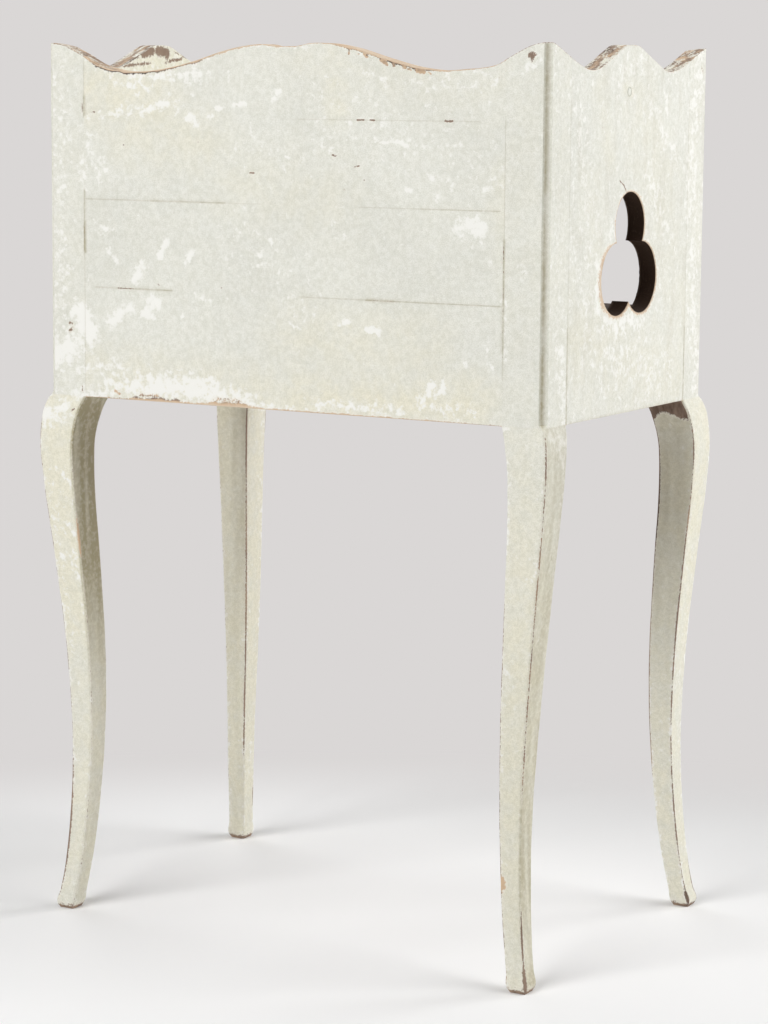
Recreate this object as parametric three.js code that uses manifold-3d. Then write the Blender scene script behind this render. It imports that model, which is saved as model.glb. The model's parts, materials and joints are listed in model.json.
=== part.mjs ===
// Small painted bedside table. Four cabriole legs run up as corner posts. They hold a tray top
// inside a scalloped gallery, an open niche with a trefoil pierced through each side, and a
// drawer under the niche floor. Lengths are in millimetres, +Z is up, the front faces -Y,
// left is -X, and the feet stand on Z = 0.

import * as THREE from "three";
import { mergeVertices } from "three/addons/utils/BufferGeometryUtils.js";
import Module from "manifold-3d";

const wasm = await Module();
wasm.setup();

// Overall size of the case, measured over the corner posts
const width = 455;
const depth = 286;
const height = 720;
const legHeight = 434;

// Space between pieces that touch, and how far a cutting solid runs past what it cuts
const gap = 0.3;
const overrun = 12;

// Corner posts and the panels let into them
const postSize = 36;
const panelThickness = 15;
const tongueThickness = 6;
const tongueLength = 8;
const coveWidth = 5;
const coveStop = 9;
const arrisWidth = 1;
const footBevel = 3;
const kneeSteps = 26;

// How far each foot stands out of plumb, and how far its toe turns off that line below the toe
// height, because the legs were sawn by hand and the old frame has racked a little
const toeHeight = 150;
const legs = [
  { name: "leg_front_left", sideX: -1, sideY: -1, leanX: -1, leanY: -5, toeX: 0.5, toeY: -1 },
  { name: "leg_front_right", sideX: 1, sideY: -1, leanX: 3.5, leanY: 2, toeX: -4.5, toeY: -2.5 },
  { name: "leg_back_left", sideX: -1, sideY: 1, leanX: 9, leanY: 11, toeX: -4, toeY: -2 },
  { name: "leg_back_right", sideX: 1, sideY: 1, leanX: -4.5, leanY: -3.5, toeX: -0.5, toeY: -0.5 },
];

// Cabriole outline, from the foot to the knee: height as a share of the leg, then the inset of
// the outer corner and the width of the square section as shares of the post
const cabrioleShares = [
  [0, -0.07, 0.447],
  [0.086, 0.08, 0.464],
  [0.202, 0.194, 0.5],
  [0.341, 0.244, 0.561],
  [0.503, 0.18, 0.656],
  [0.689, 0.014, 0.758],
  [0.828, -0.131, 0.842],
  [0.921, -0.178, 0.917],
  [0.977, -0.1, 0.985],
  [1, 0, 1],
];

// Scalloped gallery: distance from a corner as a share of half the side, then the drop below
// the corner horns as a share of the dip. The back's two halves were sawn a little unlike, and
// their tables meet in the same middle.
const backDip = 23;
const sideDip = 20;
const backLeftGalleryShares = [
  [0, 0],
  [0.06, 0.1],
  [0.14, 0.46],
  [0.19, 0.72],
  [0.23, 0.81],
  [0.3, 0.87],
  [0.385, 0.92],
  [0.5, 0.81],
  [0.62, 0.53],
  [0.74, 0.2],
  [0.83, 0.05],
  [0.92, 0.06],
  [0.955, 0.13],
  [1, 0.14],
];
const backRightGalleryShares = [
  [0, 0],
  [0.06, 0.08],
  [0.14, 0.4],
  [0.22, 0.78],
  [0.3, 0.96],
  [0.385, 1],
  [0.5, 0.9],
  [0.62, 0.65],
  [0.74, 0.31],
  [0.83, 0.13],
  [0.92, 0.08],
  [0.955, 0.14],
  [1, 0.14],
];
const sideGalleryShares = [
  [0, 0],
  [0.05, 0.05],
  [0.14, 0.27],
  [0.3, 0.68],
  [0.42, 0.93],
  [0.5, 1],
  [0.58, 0.94],
  [0.7, 0.64],
  [0.82, 0.3],
  [0.92, 0.04],
  [1, 0],
];
const outlineSteps = 2;

// Back of the case in four boards: the height of the top one, which holds the gallery, and the
// heights of the other seams as shares of the height that is left below it
const backBoardNames = ["back_board_bottom", "back_board_lower", "back_board_upper", "back_board_top"];
const topBoardHeight = 59;
const backSeamShares = [0.397, 0.709, 1];

// Tray top, niche floor and the cleats under them
const trayDepth = 29;
const trayThickness = 14;
const floorThickness = 12;
const cleatWidth = 12;
const cleatHeight = 14;

// Trefoil pierced through each side, low above the niche floor: the radii of its lobes and where
// they are, as shares of the niche's clear height
const topLobeShare = 0.154;
const lowLobeShare = 0.166;
const lowLobeSpreadShare = 0.127;
const lobeRiseShare = 0.243;
const trefoilRiseShare = 0.021;
const lobeSides = 40;

// Front rails and their tenons
const topRailHeight = 35;
const topRailThickness = 18;
const topRailWave = 14;
const topRailWaveShares = [
  [0, 0],
  [0.05, 0.03],
  [0.14, 0.42],
  [0.25, 0.84],
  [0.38, 1],
  [0.55, 0.92],
  [0.72, 0.62],
  [0.88, 0.3],
  [1, 0.2],
];
const bottomRailHeight = 14;
const tenonLength = 15;
const tenonThickness = 8;
const tenonShoulder = 4;

// Wooden pegs: one through each side into the tray, one through each front tenon
const pegRadius = 3.5;
const pegSides = 12;
const trayPegLength = 40;
const trayPegOffset = 6;
const railPegLength = 26;

// Drawer opening, the drawer in it, and what it runs on
const openingHeight = 48;
const drawerClearance = 1;
const drawerBackClearance = 4;
const drawerFrontThickness = 18;
const drawerSideThickness = 10;
const drawerSideDrop = 5;
const drawerBackDrop = 2;
const drawerBottomThickness = 5;
const drawerBottomRise = 5;
const drawerBottomInSide = 4;
const drawerBottomInFront = 6;
const runnerThickness = 12;
const guideHeight = 18;
const stopWidth = 30;
const stopSpread = 75;
const stopClearance = 1;

// Dovetails of the drawer: half-blind in front, through at the back
const frontTailLength = 12;
const tailCentreShares = [0.26, 0.74];
const tailRootShare = 0.125;
const tailTipShare = 0.18;

// Turned knob: distance in front of the drawer and radius of each turning, in order
const knobTenonRadius = 4;
const knobReach = 22;
const knobRadius = 13;
const knobSides = 32;
const knobShares = [
  [0, 0.62],
  [0.1, 0.64],
  [0.2, 0.46],
  [0.36, 0.42],
  [0.5, 0.62],
  [0.62, 0.9],
  [0.74, 1],
  [0.86, 0.94],
  [0.95, 0.66],
  [1, 0],
];

// Places worked out from the sizes above
const halfWidth = width / 2;
const halfDepth = depth / 2;
const panelInnerX = halfWidth - panelThickness;
const panelInnerY = halfDepth - panelThickness;
const openingX = halfWidth - postSize;
const openingY = halfDepth - postSize;
const trayTop = height - trayDepth;
const trayUnder = trayTop - trayThickness;
const railTop = legHeight + bottomRailHeight;
const floorUnder = railTop + openingHeight;
const floorTop = floorUnder + floorThickness;
const nicheHeight = trayUnder - floorTop;
const grooveTop = height - Math.max(backDip, sideDip) - trayThickness;

// Materials, with colours as they show on the table
const paint = new THREE.MeshStandardMaterial({ color: 0xdfe0d6, roughness: 0.85, metalness: 0 });
const bareWood = new THREE.MeshStandardMaterial({ color: 0x6e5138, roughness: 0.8, metalness: 0 });
const drawerWood = new THREE.MeshStandardMaterial({ color: 0x9a7650, roughness: 0.75, metalness: 0 });
const pegWood = new THREE.MeshStandardMaterial({ color: 0xb8966a, roughness: 0.7, metalness: 0 });

// A closed geometry as a solid that can be cut and joined
function solid(geometry) {
  const bare = geometry.clone();
  bare.deleteAttribute("normal");
  bare.deleteAttribute("uv");
  const merged = mergeVertices(bare);
  return new wasm.Manifold(
    new wasm.Mesh({
      numProp: 3,
      vertProperties: new Float32Array(merged.attributes.position.array),
      triVerts: new Uint32Array(merged.index.array),
    }),
  );
}

// A box between two corners
function box(x0, x1, y0, y1, z0, z1) {
  const geometry = new THREE.BoxGeometry(x1 - x0, y1 - y0, z1 - z0);
  geometry.translate((x0 + x1) / 2, (y0 + y1) / 2, (z0 + z1) / 2);
  return solid(geometry);
}

// A shape drawn in X and Z, extruded along Y
function extrudeAlongY(shape, y0, y1) {
  const geometry = new THREE.ExtrudeGeometry(shape, {
    depth: y1 - y0,
    bevelEnabled: false,
    curveSegments: outlineSteps,
  });
  geometry.rotateX(Math.PI / 2);
  geometry.translate(0, y1, 0);
  return solid(geometry);
}

// A shape drawn in Y and Z, extruded along X
function extrudeAlongX(shape, x0, x1) {
  const geometry = new THREE.ExtrudeGeometry(shape, {
    depth: x1 - x0,
    bevelEnabled: false,
    curveSegments: outlineSteps,
  });
  geometry.rotateY(Math.PI / 2);
  geometry.rotateX(Math.PI / 2);
  geometry.translate(x0, 0, 0);
  return solid(geometry);
}

// A round bar along X or Y that starts at a point
function barAlongX(radius, x0, x1, y, z, sides) {
  const geometry = new THREE.CylinderGeometry(radius, radius, x1 - x0, sides);
  geometry.rotateZ(Math.PI / 2);
  geometry.translate((x0 + x1) / 2, y, z);
  return solid(geometry);
}
function barAlongY(radius, x, y0, y1, z, sides) {
  const geometry = new THREE.CylinderGeometry(radius, radius, y1 - y0, sides);
  geometry.translate(x, (y0 + y1) / 2, z);
  return solid(geometry);
}

// A polyline drawn as a closed shape
function polygon(points) {
  return new THREE.Shape(points.map(([u, v]) => new THREE.Vector2(u, v)));
}

// Points of a wave from one end to the other, for the tables of shares of its two halves
function wavePoints(leftShares, rightShares, half, base, drop) {
  const rising = leftShares.map(([along, share]) => [half * (along - 1), base + share * drop]);
  const falling = rightShares.map(([along, share]) => [half * (1 - along), base + share * drop]);
  return [...rising, ...falling.slice(0, -1).reverse()].map(([u, v]) => new THREE.Vector2(u, v));
}

// Everything under a gallery's top edge, as a shape that runs past both corners
function underGallery(leftShares, rightShares, half, dip) {
  const far = half + postSize;
  const points = wavePoints(leftShares, rightShares, half, height, -dip);
  const shape = new THREE.Shape();
  shape.moveTo(-far, -overrun);
  shape.lineTo(far, -overrun);
  shape.lineTo(far, height);
  shape.lineTo(half, height);
  shape.splineThru(points.reverse().slice(1));
  shape.lineTo(-far, height);
  return shape;
}

const backFar = halfDepth + postSize;
const sideFar = halfWidth + postSize;
const backGallery = underGallery(backLeftGalleryShares, backRightGalleryShares, halfWidth, backDip);
const sideGallery = underGallery(sideGalleryShares, sideGalleryShares, halfDepth, sideDip);
const underBackGallery = extrudeAlongY(backGallery, -backFar, backFar);
const underSideGallery = extrudeAlongX(sideGallery, -sideFar, sideFar);

const table = new THREE.Group();

// Adds a finished solid to the table as a named mesh
function add(name, body, material) {
  const { vertProperties, triVerts } = body.getMesh();
  const geometry = new THREE.BufferGeometry();
  geometry.setAttribute("position", new THREE.BufferAttribute(new Float32Array(vertProperties), 3));
  geometry.setIndex(new THREE.BufferAttribute(new Uint32Array(triVerts), 1));
  geometry.computeVertexNormals();
  const mesh = new THREE.Mesh(geometry, material);
  mesh.name = name;
  table.add(mesh);
}

// Stations of a leg from the floor to above the horns: height, inset, width and outer chamfer
function legStations() {
  const points = cabrioleShares.map(
    ([rise, inset, size]) =>
      new THREE.Vector3(inset * postSize, size * postSize, footBevel + rise * (legHeight - footBevel)),
  );
  const curve = new THREE.CatmullRomCurve3(points, false, "centripetal");
  const [footInset, footSize] = [points[0].x, points[0].y];
  const stations = [{ z: 0, inset: footInset + footBevel / 2, size: footSize - footBevel, chamfer: arrisWidth }];
  for (const { x: inset, y: size, z } of curve.getPoints(kneeSteps)) {
    stations.push({ z, inset, size, chamfer: arrisWidth });
  }
  stations.push({ z: legHeight + coveStop, inset: 0, size: postSize, chamfer: coveWidth });
  stations.push({ z: height + overrun, inset: 0, size: postSize, chamfer: coveWidth });
  return stations;
}

// One leg and its post, lofted through the stations, before the joints are cut
function legBlank({ sideX, sideY, leanX, leanY, toeX, toeY }) {
  const positions = [];
  const stations = legStations();
  for (const { z, inset, size, chamfer } of stations) {
    const lean = Math.max(0, 1 - z / legHeight);
    const toe = Math.max(0, 1 - z / toeHeight) ** 2;
    const offX = lean * leanX + toe * toeX;
    const offY = lean * leanY + toe * toeY;
    const outX = halfWidth - inset;
    const outY = halfDepth - inset;
    const inX = outX - size;
    const inY = outY - size;
    const ring = [
      [inX + arrisWidth, inY],
      [outX - arrisWidth, inY],
      [outX, inY + arrisWidth],
      [outX, outY - chamfer],
      [outX - chamfer, outY],
      [inX + arrisWidth, outY],
      [inX, outY - arrisWidth],
      [inX, inY + arrisWidth],
    ];
    if (sideX * sideY < 0) ring.reverse();
    for (const [x, y] of ring) positions.push(sideX * x + offX, sideY * y + offY, z);
  }
  const corners = positions.length / stations.length / 3;
  const index = [];
  for (let level = 0; level + 1 < stations.length; level += 1) {
    for (let k = 0; k < corners; k += 1) {
      const a = level * corners + k;
      const b = level * corners + ((k + 1) % corners);
      index.push(a, b, b + corners, a, b + corners, a + corners);
    }
  }
  const top = (stations.length - 1) * corners;
  for (let k = 1; k + 1 < corners; k += 1) {
    index.push(0, k + 1, k);
    index.push(top, top + k, top + k + 1);
  }
  const geometry = new THREE.BufferGeometry();
  geometry.setAttribute("position", new THREE.Float32BufferAttribute(positions, 3));
  geometry.setIndex(index);
  return solid(geometry);
}

// Middle of a panel's thickness, and half of its tongue
const panelMidX = halfWidth - panelThickness / 2;
const panelMidY = halfDepth - panelThickness / 2;
const halfTongue = tongueThickness / 2;

// Grooves in a post for the tongues of the side panel and, in a back post, of the back boards
function postGrooves({ sideX, sideY }) {
  const wide = halfTongue + gap;
  const [x0, x1] = [sideX * panelMidX - wide, sideX * panelMidX + wide];
  const sideGroove = spanBox(x0, x1, sideY * (openingY - gap), sideY * (openingY + tongueLength + gap));
  if (sideY < 0) return [sideGroove];
  const [y0, y1] = [panelMidY - wide, panelMidY + wide];
  return [sideGroove, spanBox(sideX * (openingX - gap), sideX * (openingX + tongueLength + gap), y0, y1)];
}

// A groove's box over the full height of the tongues, whichever way its sides are given
function spanBox(xa, xb, ya, yb) {
  const [x0, x1] = [Math.min(xa, xb), Math.max(xa, xb)];
  const [y0, y1] = [Math.min(ya, yb), Math.max(ya, yb)];
  return box(x0, x1, y0, y1, legHeight - gap, grooveTop + gap);
}

// What a post loses above the tray, where the gallery is as thick as the boards: a back post keeps
// the strips in line with the back boards and the side, a front post only the one with the side
function postNotch({ sideX, sideY }) {
  const [x0, x1] = [sideX * (openingX - overrun), sideX * panelInnerX].sort((a, b) => a - b);
  const [y0, y1] = sideY < 0 ? [-halfDepth - overrun, -openingY + overrun] : [openingY - overrun, panelInnerY];
  return box(x0, x1, y0, y1, trayTop, height + overrun);
}

// Tenons of the front rails: height and depth of each, and the peg that crosses it
const railTenons = [
  {
    rail: "top",
    y0: -halfDepth + (topRailThickness - tenonThickness) / 2,
    y1: -halfDepth + (topRailThickness + tenonThickness) / 2,
    z0: trayUnder - gap - topRailHeight + tenonShoulder,
    z1: trayUnder - gap - tenonShoulder,
  },
  {
    rail: "bottom",
    y0: -halfDepth + tenonShoulder,
    y1: -openingY - tenonShoulder,
    z0: legHeight + (bottomRailHeight - tenonThickness) / 2,
    z1: legHeight + (bottomRailHeight + tenonThickness) / 2,
  },
];
const railPegs = railTenons.flatMap(({ rail, z0, z1 }) =>
  [-1, 1].map((side) => ({
    name: `peg_${rail}_rail_${side < 0 ? "left" : "right"}`,
    side,
    x: side * (openingX + tenonLength / 2),
    z: (z0 + z1) / 2,
  })),
);

function railPegBore({ x, z }) {
  return barAlongY(pegRadius + gap, x, -halfDepth - overrun, -halfDepth + railPegLength + gap, z, pegSides);
}

// Legs
for (const leg of legs) {
  let body = legBlank(leg).intersect(underBackGallery).intersect(underSideGallery);
  for (const cut of [...postGrooves(leg), postNotch(leg)]) body = body.subtract(cut);
  if (leg.sideY < 0) {
    for (const { y0, y1, z0, z1 } of railTenons) {
      const inner = leg.sideX * (openingX - gap);
      const outer = leg.sideX * (openingX + tenonLength + gap);
      const [x0, x1] = [Math.min(inner, outer), Math.max(inner, outer)];
      body = body.subtract(box(x0, x1, y0 - gap, y1 + gap, z0 - gap, z1 + gap));
    }
    for (const peg of railPegs.filter(({ side }) => side === leg.sideX)) body = body.subtract(railPegBore(peg));
  }
  add(leg.name, body, paint);
}

// Back boards between the back posts, each with a tongue at both ends
const topSeam = height - topBoardHeight;
const seams = [0, ...backSeamShares].map((share) => legHeight + share * (topSeam - legHeight));
seams.push(height);
backBoardNames.forEach((name, k) => {
  const z0 = seams[k];
  const last = k + 1 === backBoardNames.length;
  const z1 = last ? seams[k + 1] : seams[k + 1] - gap;
  const edge = openingX - gap;
  const tip = openingX + tongueLength - gap;
  const board = box(-edge, edge, panelInnerY, halfDepth, z0, z1);
  const tongueFoot = Math.max(z0, legHeight + gap);
  const tongueHead = Math.min(z1, grooveTop);
  const tongue = box(-tip, tip, panelMidY - halfTongue, panelMidY + halfTongue, tongueFoot, tongueHead);
  add(name, board.add(tongue).intersect(underBackGallery), paint);
});

// Trefoil: two low lobes side by side and one above them, cut right through both sides
const topLobeRadius = topLobeShare * nicheHeight;
const lowLobeRadius = lowLobeShare * nicheHeight;
const lowLobeY = lowLobeSpreadShare * nicheHeight;
const lowLobeZ = floorTop + trefoilRiseShare * nicheHeight + lowLobeRadius;
const trefoil = [
  [topLobeRadius, 0, lowLobeZ + lobeRiseShare * nicheHeight],
  [lowLobeRadius, -lowLobeY, lowLobeZ],
  [lowLobeRadius, lowLobeY, lowLobeZ],
]
  .map(([radius, y, z]) => barAlongX(radius, -halfWidth - overrun, halfWidth + overrun, y, z, lobeSides))
  .reduce((all, lobe) => all.add(lobe));

// Pegs through the sides into the ends of the tray
const trayPegZ = trayTop - trayThickness / 2;
function trayPeg(side, radius, slack) {
  const outer = halfWidth + (slack ? overrun : 0);
  const inner = halfWidth - trayPegLength - slack;
  const [x0, x1] = side < 0 ? [-outer, -inner] : [inner, outer];
  return barAlongX(radius, x0, x1, trayPegOffset, trayPegZ, pegSides);
}
const trayPegBores = trayPeg(-1, pegRadius + gap, gap).add(trayPeg(1, pegRadius + gap, gap));

// Side panels, each with a tongue at both ends
for (const side of [-1, 1]) {
  const word = side < 0 ? "left" : "right";
  const edge = openingY - gap;
  const tip = openingY + tongueLength - gap;
  const [x0, x1] = side < 0 ? [-halfWidth, -panelInnerX] : [panelInnerX, halfWidth];
  const mid = side * panelMidX;
  const panel = box(x0, x1, -edge, edge, legHeight, height)
    .add(box(mid - halfTongue, mid + halfTongue, -tip, tip, legHeight + gap, grooveTop))
    .intersect(underSideGallery)
    .subtract(trefoil)
    .subtract(trayPegBores);
  add(`side_panel_${word}`, panel, paint);
  add(`peg_tray_${word}`, trayPeg(side, pegRadius, 0), pegWood);
}

// A board that fills the case from side to side and is notched round the four posts
function notchedBoard(z0, z1) {
  const [farX, nearX] = [panelInnerX - gap, openingX - gap];
  const [farY, nearY] = [panelInnerY - gap, openingY - gap];
  const front = -halfDepth;
  const outline = polygon([
    [-nearX, front],
    [nearX, front],
    [nearX, -nearY],
    [farX, -nearY],
    [farX, nearY],
    [nearX, nearY],
    [nearX, farY],
    [-nearX, farY],
    [-nearX, nearY],
    [-farX, nearY],
    [-farX, -nearY],
    [-nearX, -nearY],
  ]);
  const geometry = new THREE.ExtrudeGeometry(outline, { depth: z1 - z0, bevelEnabled: false });
  geometry.translate(0, 0, z0);
  return solid(geometry);
}
add("tray_top", notchedBoard(trayUnder, trayTop).subtract(trayPegBores), paint);
add("niche_floor", notchedBoard(floorUnder, floorTop), bareWood);

// Cleats under the tray and the niche floor
const cleats = [
  { board: "tray", z1: trayUnder - gap },
  { board: "floor", z1: floorUnder - gap },
];
for (const { board, z1 } of cleats) {
  const outer = panelInnerX - gap;
  const inner = outer - cleatWidth;
  const end = openingY - gap;
  add(`${board}_cleat_left`, box(-outer, -inner, -end, end, z1 - cleatHeight, z1), bareWood);
  add(`${board}_cleat_right`, box(inner, outer, -end, end, z1 - cleatHeight, z1), bareWood);
}
const backCleatY = panelInnerY - gap;
const backCleatZ = trayUnder - gap;
add(
  "tray_cleat_back",
  box(-openingX + gap, openingX - gap, backCleatY - cleatWidth, backCleatY, backCleatZ - cleatHeight, backCleatZ),
  bareWood,
);

// Front rails between the front posts: the top one shaped, the bottom one a flat blade
const railEdge = openingX - gap;
const railTip = openingX + tenonLength;
const [topTenon, bottomTenon] = railTenons.map(({ y0, y1, z0, z1 }) => box(-railTip, railTip, y0, y1, z0, z1));
const railPegBores = railPegs.map(railPegBore).reduce((all, bore) => all.add(bore));
const topRailFoot = trayUnder - gap - topRailHeight;
const topRailShape = new THREE.Shape();
topRailShape.moveTo(railEdge, trayUnder - gap);
topRailShape.lineTo(-railEdge, trayUnder - gap);
topRailShape.lineTo(-railEdge, topRailFoot);
const topRailPoints = wavePoints(topRailWaveShares, topRailWaveShares, railEdge, topRailFoot, topRailWave);
topRailShape.splineThru(topRailPoints.slice(1));
const topRail = extrudeAlongY(topRailShape, -halfDepth, -halfDepth + topRailThickness);
const bottomRail = box(-railEdge, railEdge, -halfDepth, -openingY, legHeight, railTop);
add("front_top_rail", topRail.add(topTenon).subtract(railPegBores), paint);
add("front_bottom_rail", bottomRail.add(bottomTenon).subtract(railPegBores), paint);
for (const { name, x, z } of railPegs) {
  add(name, barAlongY(pegRadius, x, -halfDepth, -halfDepth + railPegLength, z, pegSides), pegWood);
}

// Places of the drawer
const drawerX = openingX - drawerClearance;
const drawerInnerX = drawerX - drawerSideThickness;
const frontBackY = -halfDepth + drawerFrontThickness;
const drawerEndY = panelInnerY - drawerBackClearance;
const drawerBackY = drawerEndY - drawerSideThickness;
const frontFoot = railTop + drawerClearance;
const frontHead = floorUnder - drawerClearance;
const sideFoot = railTop + gap;
const sideHead = frontHead - drawerSideDrop;
const bottomZ = sideFoot + drawerBottomRise;
const backFoot = bottomZ + drawerBottomThickness + gap;
const backHead = sideHead - drawerBackDrop;
const knobZ = (frontFoot + frontHead) / 2;

// Runners that carry the drawer, guides beside it, and stops behind its front
for (const side of [-1, 1]) {
  const word = side < 0 ? "left" : "right";
  const outer = side * (panelInnerX - gap);
  const end = openingY - gap;
  const runnerInner = side * drawerInnerX;
  const guideInner = side * openingX;
  const runner = [Math.min(outer, runnerInner), Math.max(outer, runnerInner)];
  const guide = [Math.min(outer, guideInner), Math.max(outer, guideInner)];
  const stopX = side * stopSpread;
  const stopTop = bottomZ - stopClearance;
  add(`drawer_runner_${word}`, box(...runner, -end, end, railTop - runnerThickness, railTop), bareWood);
  add(`drawer_guide_${word}`, box(...guide, -end, end, sideFoot, sideFoot + guideHeight), bareWood);
  add(
    `drawer_stop_${word}`,
    box(stopX - stopWidth / 2, stopX + stopWidth / 2, frontBackY + gap, -openingY, sideFoot, stopTop),
    bareWood,
  );
}

// Dovetails on the end of a drawer side: trapezoids in Y and Z that widen away from the side
function tails(x0, x1, root, tip, grow) {
  const span = backHead - backFoot;
  const way = Math.sign(tip - root);
  return tailCentreShares
    .map((share) => {
      const z = backFoot + share * span;
      const narrow = tailRootShare * span + grow;
      const broad = tailTipShare * span + grow;
      const start = root - way * gap;
      const end = tip + way * grow;
      const shape = polygon([
        [start, z - narrow],
        [end, z - broad],
        [end, z + broad],
        [start, z + narrow],
      ]);
      return extrudeAlongX(shape, x0, x1);
    })
    .reduce((all, tail) => all.add(tail));
}
const frontTailTip = frontBackY - frontTailLength;

// Drawer bottom, let into grooves in the sides and the front and run out under the back
const bottomX = drawerInnerX + drawerBottomInSide - gap;
const bottomFrontY = frontBackY - drawerBottomInFront + gap;
const bottomTop = bottomZ + drawerBottomThickness;
const drawerBottom = box(-bottomX, bottomX, bottomFrontY, drawerEndY, bottomZ, bottomTop);
const bottomGroove = box(
  -bottomX - gap,
  bottomX + gap,
  bottomFrontY - gap,
  drawerEndY + overrun,
  bottomZ - gap,
  bottomTop + gap,
);

// Drawer sides, front and back
let drawerFront = box(-drawerX, drawerX, -halfDepth, frontBackY, frontFoot, frontHead)
  .subtract(bottomGroove)
  .subtract(barAlongY(knobTenonRadius + gap, 0, -halfDepth - overrun, frontBackY + overrun, knobZ, knobSides));
let drawerBack = box(-drawerX, drawerX, drawerBackY, drawerEndY, backFoot, backHead);
for (const side of [-1, 1]) {
  const word = side < 0 ? "left" : "right";
  const [x0, x1] = side < 0 ? [-drawerX, -drawerInnerX] : [drawerInnerX, drawerX];
  const [cut0, cut1] = side < 0 ? [-drawerX - overrun, x1 + gap] : [x0 - gap, drawerX + overrun];
  const frontRoot = frontBackY + gap;
  const backRoot = drawerBackY - gap;
  const drawerSide = box(x0, x1, frontRoot, backRoot, sideFoot, sideHead)
    .add(tails(x0, x1, frontRoot, frontTailTip, 0))
    .add(tails(x0, x1, backRoot, drawerEndY, 0))
    .subtract(bottomGroove);
  drawerFront = drawerFront.subtract(tails(cut0, cut1, frontRoot, frontTailTip, gap));
  drawerBack = drawerBack.subtract(tails(cut0, cut1, backRoot, drawerEndY, gap));
  add(`drawer_side_${word}`, drawerSide, drawerWood);
}
add("drawer_front", drawerFront, paint);
add("drawer_back", drawerBack, drawerWood);
add("drawer_bottom", drawerBottom, drawerWood);

// Turned knob with its tenon through the drawer front, turned about its own axis and laid along -Y
const knobProfile = [
  new THREE.Vector2(0, -drawerFrontThickness),
  new THREE.Vector2(knobTenonRadius, -drawerFrontThickness),
  new THREE.Vector2(knobTenonRadius, gap),
  ...knobShares.map(([reach, radius]) => new THREE.Vector2(radius * knobRadius, gap + reach * knobReach)),
];
const knob = new THREE.LatheGeometry(knobProfile, knobSides);
knob.rotateX(Math.PI);
knob.translate(0, -halfDepth, knobZ);
add("drawer_knob", solid(knob), bareWood);

// The origin is on the floor, under the middle of everything the table reaches
const middle = new THREE.Box3().setFromObject(table).getCenter(new THREE.Vector3());
table.position.set(-middle.x, -middle.y, 0);

export default table;
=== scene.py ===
import itertools
import json
import math
from functools import partial

import bpy
import numpy as np
from mathutils import Matrix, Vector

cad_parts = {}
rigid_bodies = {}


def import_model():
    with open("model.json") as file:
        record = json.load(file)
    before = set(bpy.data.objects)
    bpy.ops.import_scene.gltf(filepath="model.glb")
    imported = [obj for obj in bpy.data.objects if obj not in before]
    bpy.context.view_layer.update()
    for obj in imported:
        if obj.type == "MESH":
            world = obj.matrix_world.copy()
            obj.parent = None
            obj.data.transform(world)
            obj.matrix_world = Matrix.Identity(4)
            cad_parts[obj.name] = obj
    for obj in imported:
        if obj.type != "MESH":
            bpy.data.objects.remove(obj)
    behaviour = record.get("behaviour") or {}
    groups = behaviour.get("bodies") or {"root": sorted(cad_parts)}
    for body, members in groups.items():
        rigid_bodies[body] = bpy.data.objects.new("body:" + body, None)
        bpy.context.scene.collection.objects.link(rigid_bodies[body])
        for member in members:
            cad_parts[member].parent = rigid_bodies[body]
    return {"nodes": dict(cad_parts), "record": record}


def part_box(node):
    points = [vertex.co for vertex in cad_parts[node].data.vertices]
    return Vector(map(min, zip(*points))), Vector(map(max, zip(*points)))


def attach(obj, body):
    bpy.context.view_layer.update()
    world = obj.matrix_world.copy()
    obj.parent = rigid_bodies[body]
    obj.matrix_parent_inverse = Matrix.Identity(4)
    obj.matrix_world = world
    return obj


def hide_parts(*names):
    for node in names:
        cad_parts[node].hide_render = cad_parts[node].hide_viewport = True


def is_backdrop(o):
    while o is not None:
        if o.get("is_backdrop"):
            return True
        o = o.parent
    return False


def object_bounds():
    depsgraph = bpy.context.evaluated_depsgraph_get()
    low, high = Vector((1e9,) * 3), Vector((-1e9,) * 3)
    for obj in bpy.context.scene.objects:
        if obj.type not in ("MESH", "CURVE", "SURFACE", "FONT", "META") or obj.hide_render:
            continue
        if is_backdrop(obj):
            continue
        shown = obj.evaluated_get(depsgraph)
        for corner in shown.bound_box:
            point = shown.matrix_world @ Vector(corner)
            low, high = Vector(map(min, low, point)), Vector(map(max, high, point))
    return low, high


# Small painted bedside table, seen from its back left corner. Lengths here are in millimetres in
# the frame of the CAD model; they become metres when a mesh is made. Colours are 8-bit sRGB.

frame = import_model()
cad_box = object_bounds()
MM = 0.001

# Camera of the photo: its place in metres, its angles in degrees and its lens in millimetres
CAMERA_PLACE = (-1.206776, 2.088498, 0.68307)
AZIMUTH, ELEVATION, ROLL = 209.92, 8.18, 0.46
LENS, SENSOR = 102.98, 36
PHOTO_WIDTH, PHOTO_HEIGHT = 768, 1024

# Case over its corner posts, and the edge profiles that the CAD model has as well
POST = 36
HEIGHT = 720
KNEE = 434
COVE = 5
PANEL = 15
BACK_DIP, SIDE_DIP = 23, 20
BACK_LEFT_GALLERY_SHARES = [
    (0, 0), (0.06, 0.1), (0.14, 0.46), (0.19, 0.72), (0.23, 0.81), (0.3, 0.87), (0.385, 0.92),
    (0.5, 0.81), (0.62, 0.53), (0.74, 0.2), (0.83, 0.05), (0.92, 0.06), (0.955, 0.13), (1, 0.14),
]
BACK_RIGHT_GALLERY_SHARES = [
    (0, 0), (0.06, 0.08), (0.14, 0.4), (0.22, 0.78), (0.3, 0.96), (0.385, 1), (0.5, 0.9),
    (0.62, 0.65), (0.74, 0.31), (0.83, 0.13), (0.92, 0.08), (0.955, 0.14), (1, 0.14),
]
SIDE_GALLERY_SHARES = [
    (0, 0), (0.05, 0.05), (0.14, 0.27), (0.3, 0.68), (0.42, 0.93), (0.5, 1), (0.58, 0.94),
    (0.7, 0.64), (0.82, 0.3), (0.92, 0.04), (1, 0),
]
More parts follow.
